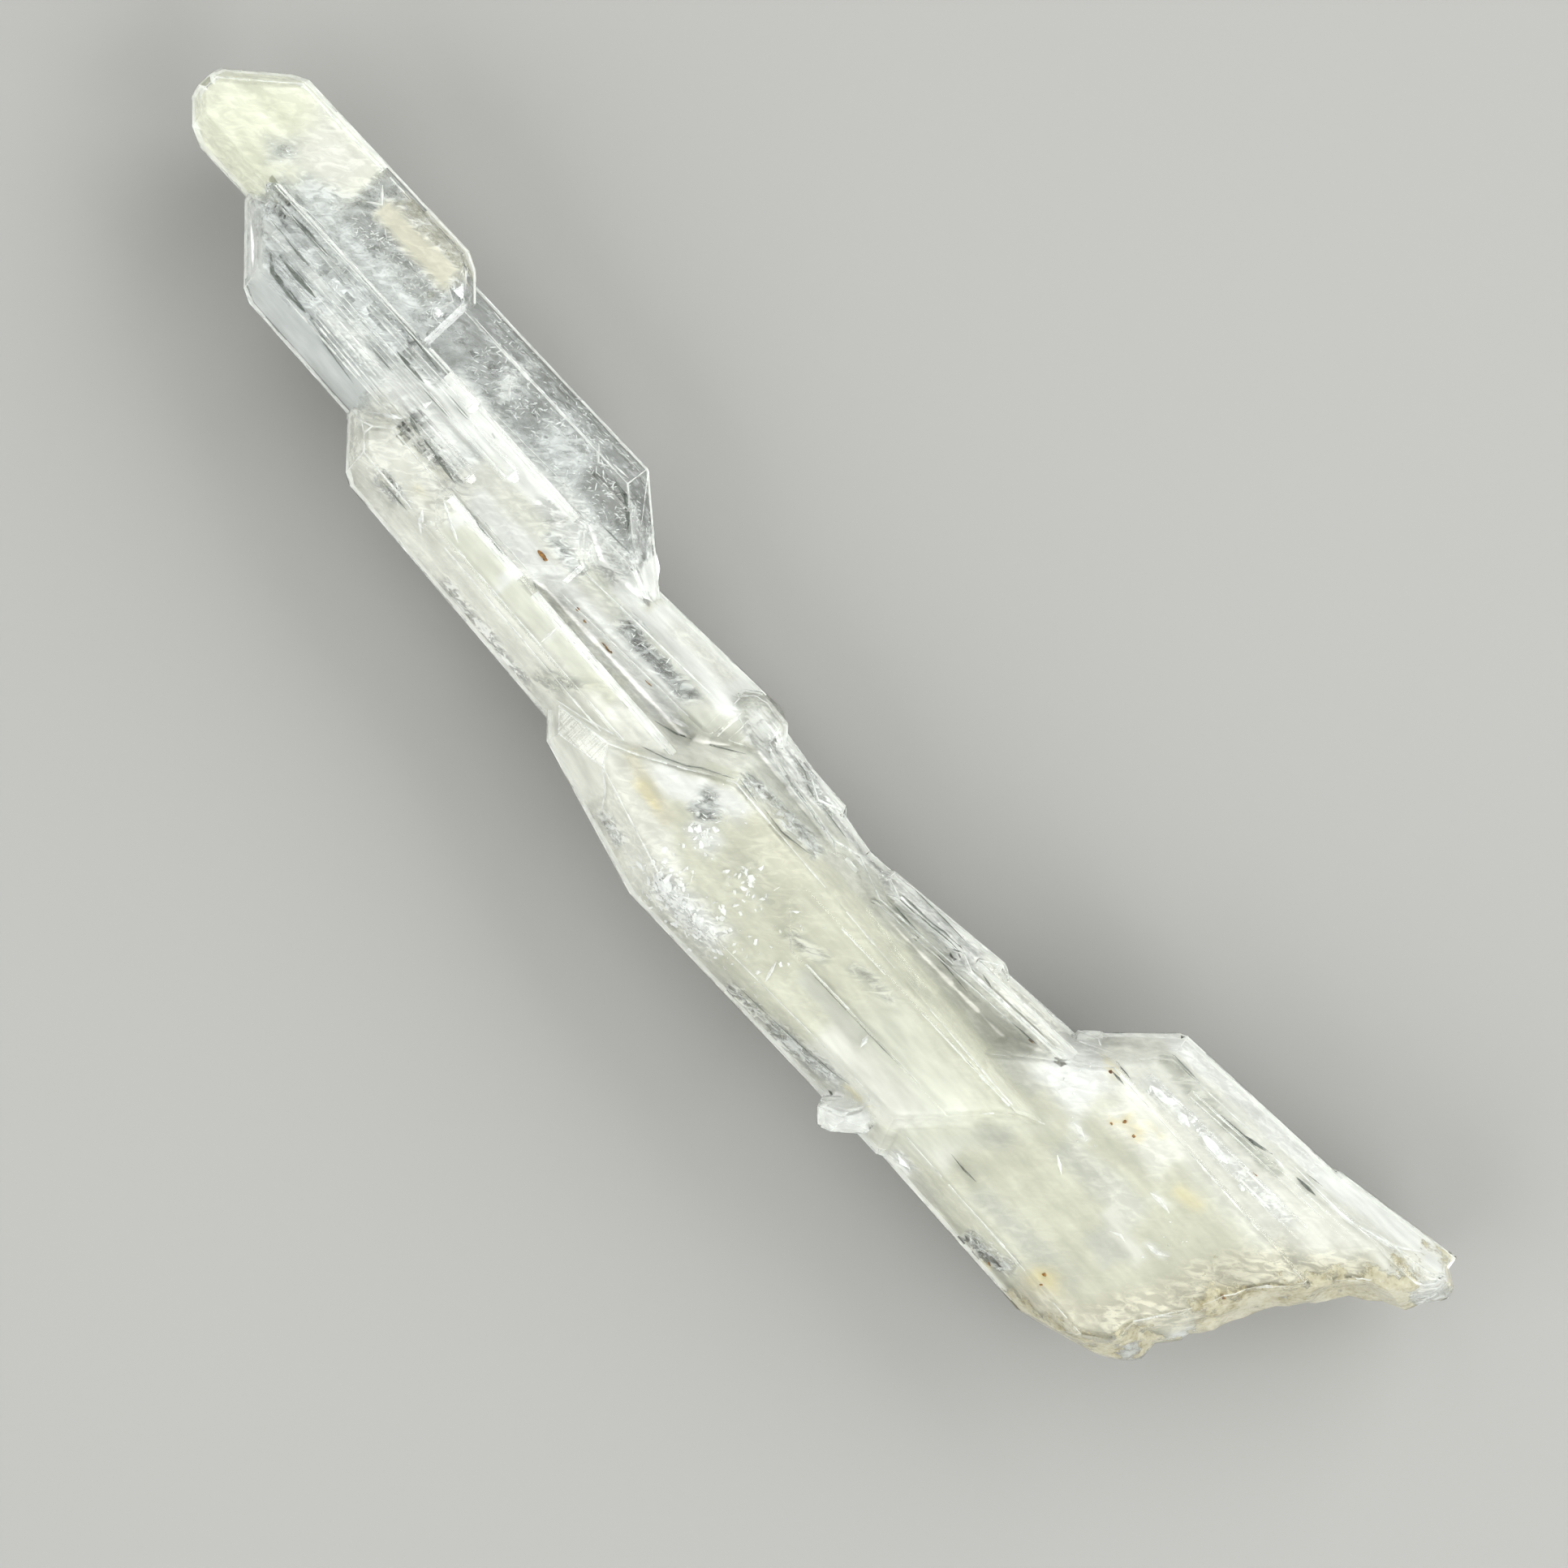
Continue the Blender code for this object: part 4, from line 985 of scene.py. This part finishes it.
# White veins run through the crust where the quartz cracked along the break.
VEINS = 34
VEIN_STEP = 0.17
VEIN_DEPTH = 0.12
VEIN_WIDTH = (0.03, 0.07)
VEIN_HEIGHT = 0.06
chance = random.Random(47)
vein_bm = bmesh.new()
for number in range(VEINS):
    y = chance.uniform(-4.4, 4.0)
    line = []
    x = break_x(y) - chance.uniform(0.25, 1.3)
    heading = chance.gauss(1.05, 0.35)
    for part in range(chance.randint(3, 7)):
        line.append((x, y))
        heading += chance.gauss(0, 0.45)
        x, y = x + VEIN_STEP * math.cos(heading), y + VEIN_STEP * math.sin(heading)
    placed = [point for point in under_top(line, VEIN_DEPTH)[0] if is_inside(point, 0.08)]
    if len(placed) > 2:
        sliver_along(vein_bm, placed, chance.uniform(*VEIN_WIDTH), VEIN_HEIGHT)
keep(vein_bm, "crust_veins", growth_seam)

# The studio: a pale matt floor, four wide soft lights round the cluster and an even pale surround.
FLOOR = "#8a8a87"
FLOOR_DROP = 0.05
FLOOR_HALF = 0.5
bm = bmesh.new()
bmesh.ops.create_grid(bm, x_segments=1, y_segments=1, size=FLOOR_HALF)
bmesh.ops.translate(bm, vec=(0, 0, -FLOOR_DROP * MM), verts=bm.verts)
floor_mesh = bpy.data.meshes.new("floor")
bm.to_mesh(floor_mesh)
bm.free()
# Matt paint: it gives an even pale ground that takes soft shadows and shows no gloss.
floor_paint, tree, out = new_material("matt_floor")
paint = add_node(tree, "ShaderNodeBsdfPrincipled", {
    "Base Color": linear(FLOOR), "Roughness": 0.85, "Specular IOR Level": 0.2})
tree.links.new(paint.outputs["BSDF"], out.inputs["Surface"])
floor_mesh.materials.append(floor_paint)
floor = bpy.data.objects.new("floor", floor_mesh)
bpy.context.scene.collection.objects.link(floor)

# How bright the surround is at heights from the horizon, 0, to overhead, 1.
SURROUND = ((0.0, 0.53), (0.16, 0.47), (0.3, 0.53), (0.5, 0.38), (0.75, 0.33))
world = bpy.data.worlds.new("studio")
world.use_nodes = True
tree = world.node_tree
sky = add_node(tree, "ShaderNodeTexCoord")
height = add_node(tree, "ShaderNodeSeparateXYZ", {}, {"Vector": sky.outputs["Generated"]})
fade = add_node(tree, "ShaderNodeValToRGB", {}, {"Fac": height.outputs["Z"]})
set_stops(fade.color_ramp, [(height_share, (level, level, level, 1)) for height_share, level in SURROUND])
tree.links.new(fade.outputs["Color"], tree.nodes["Background"].inputs["Color"])
bpy.context.scene.world = world

AIM = Vector((0, 0, 2 * MM))


def soft_light(name, size, power, place):
    """An area light of a width and height in metres and a power in watts, aimed at the cluster."""
    lamp = bpy.data.lights.new(name, "AREA")
    lamp.shape = "RECTANGLE"
    lamp.size, lamp.size_y = size
    lamp.energy = power
    made = bpy.data.objects.new(name, lamp)
    made.location = place
    made.rotation_euler = (AIM - Vector(place)).to_track_quat("-Z", "Y").to_euler()
    bpy.context.scene.collection.objects.link(made)


soft_light("key", (0.6, 0.6), 1.5, (-0.42, 0.0, 0.46))
soft_light("fill", (0.8, 0.4), 4.1, (-0.1, -0.5, 0.31))
soft_light("side", (0.6, 0.36), 4.8, (0.46, 0.06, 0.32))
soft_light("back", (0.7, 0.34), 4.2, (0.08, 0.49, 0.28))

scene = bpy.context.scene
scene.view_settings.view_transform = "Standard"
scene.cycles.max_bounces = 16
scene.cycles.transmission_bounces = 14
scene.cycles.diffuse_bounces = 6
scene.cycles.transparent_max_bounces = 32

# The camera looks straight down on the cluster, turned so that the tips point up and to the left.
CAMERA_TURN = math.radians(47)
CAMERA_CENTRE = Vector((1.05 * MM, 0.51 * MM, 0.0))
VIEW_WIDTH = 45.12 * MM
FOCUS_HEIGHT = 3.0 * MM
DISTANCE = 160 * MM
camera_data = bpy.data.cameras.new("camera")
camera_data.sensor_width = 36.0
camera_data.lens = 36.0 * DISTANCE / VIEW_WIDTH
camera_data.clip_start = 0.01
camera_data.clip_end = 10.0
camera = bpy.data.objects.new("camera", camera_data)
right = Vector((math.cos(CAMERA_TURN), math.sin(CAMERA_TURN), 0))
up = Vector((-math.sin(CAMERA_TURN), math.cos(CAMERA_TURN), 0))
placing = Matrix((right, up, (0, 0, 1))).transposed().to_4x4()
placing.translation = CAMERA_CENTRE + Vector((0, 0, FOCUS_HEIGHT + DISTANCE))
camera.matrix_world = placing
scene.collection.objects.link(camera)
scene.camera = camera
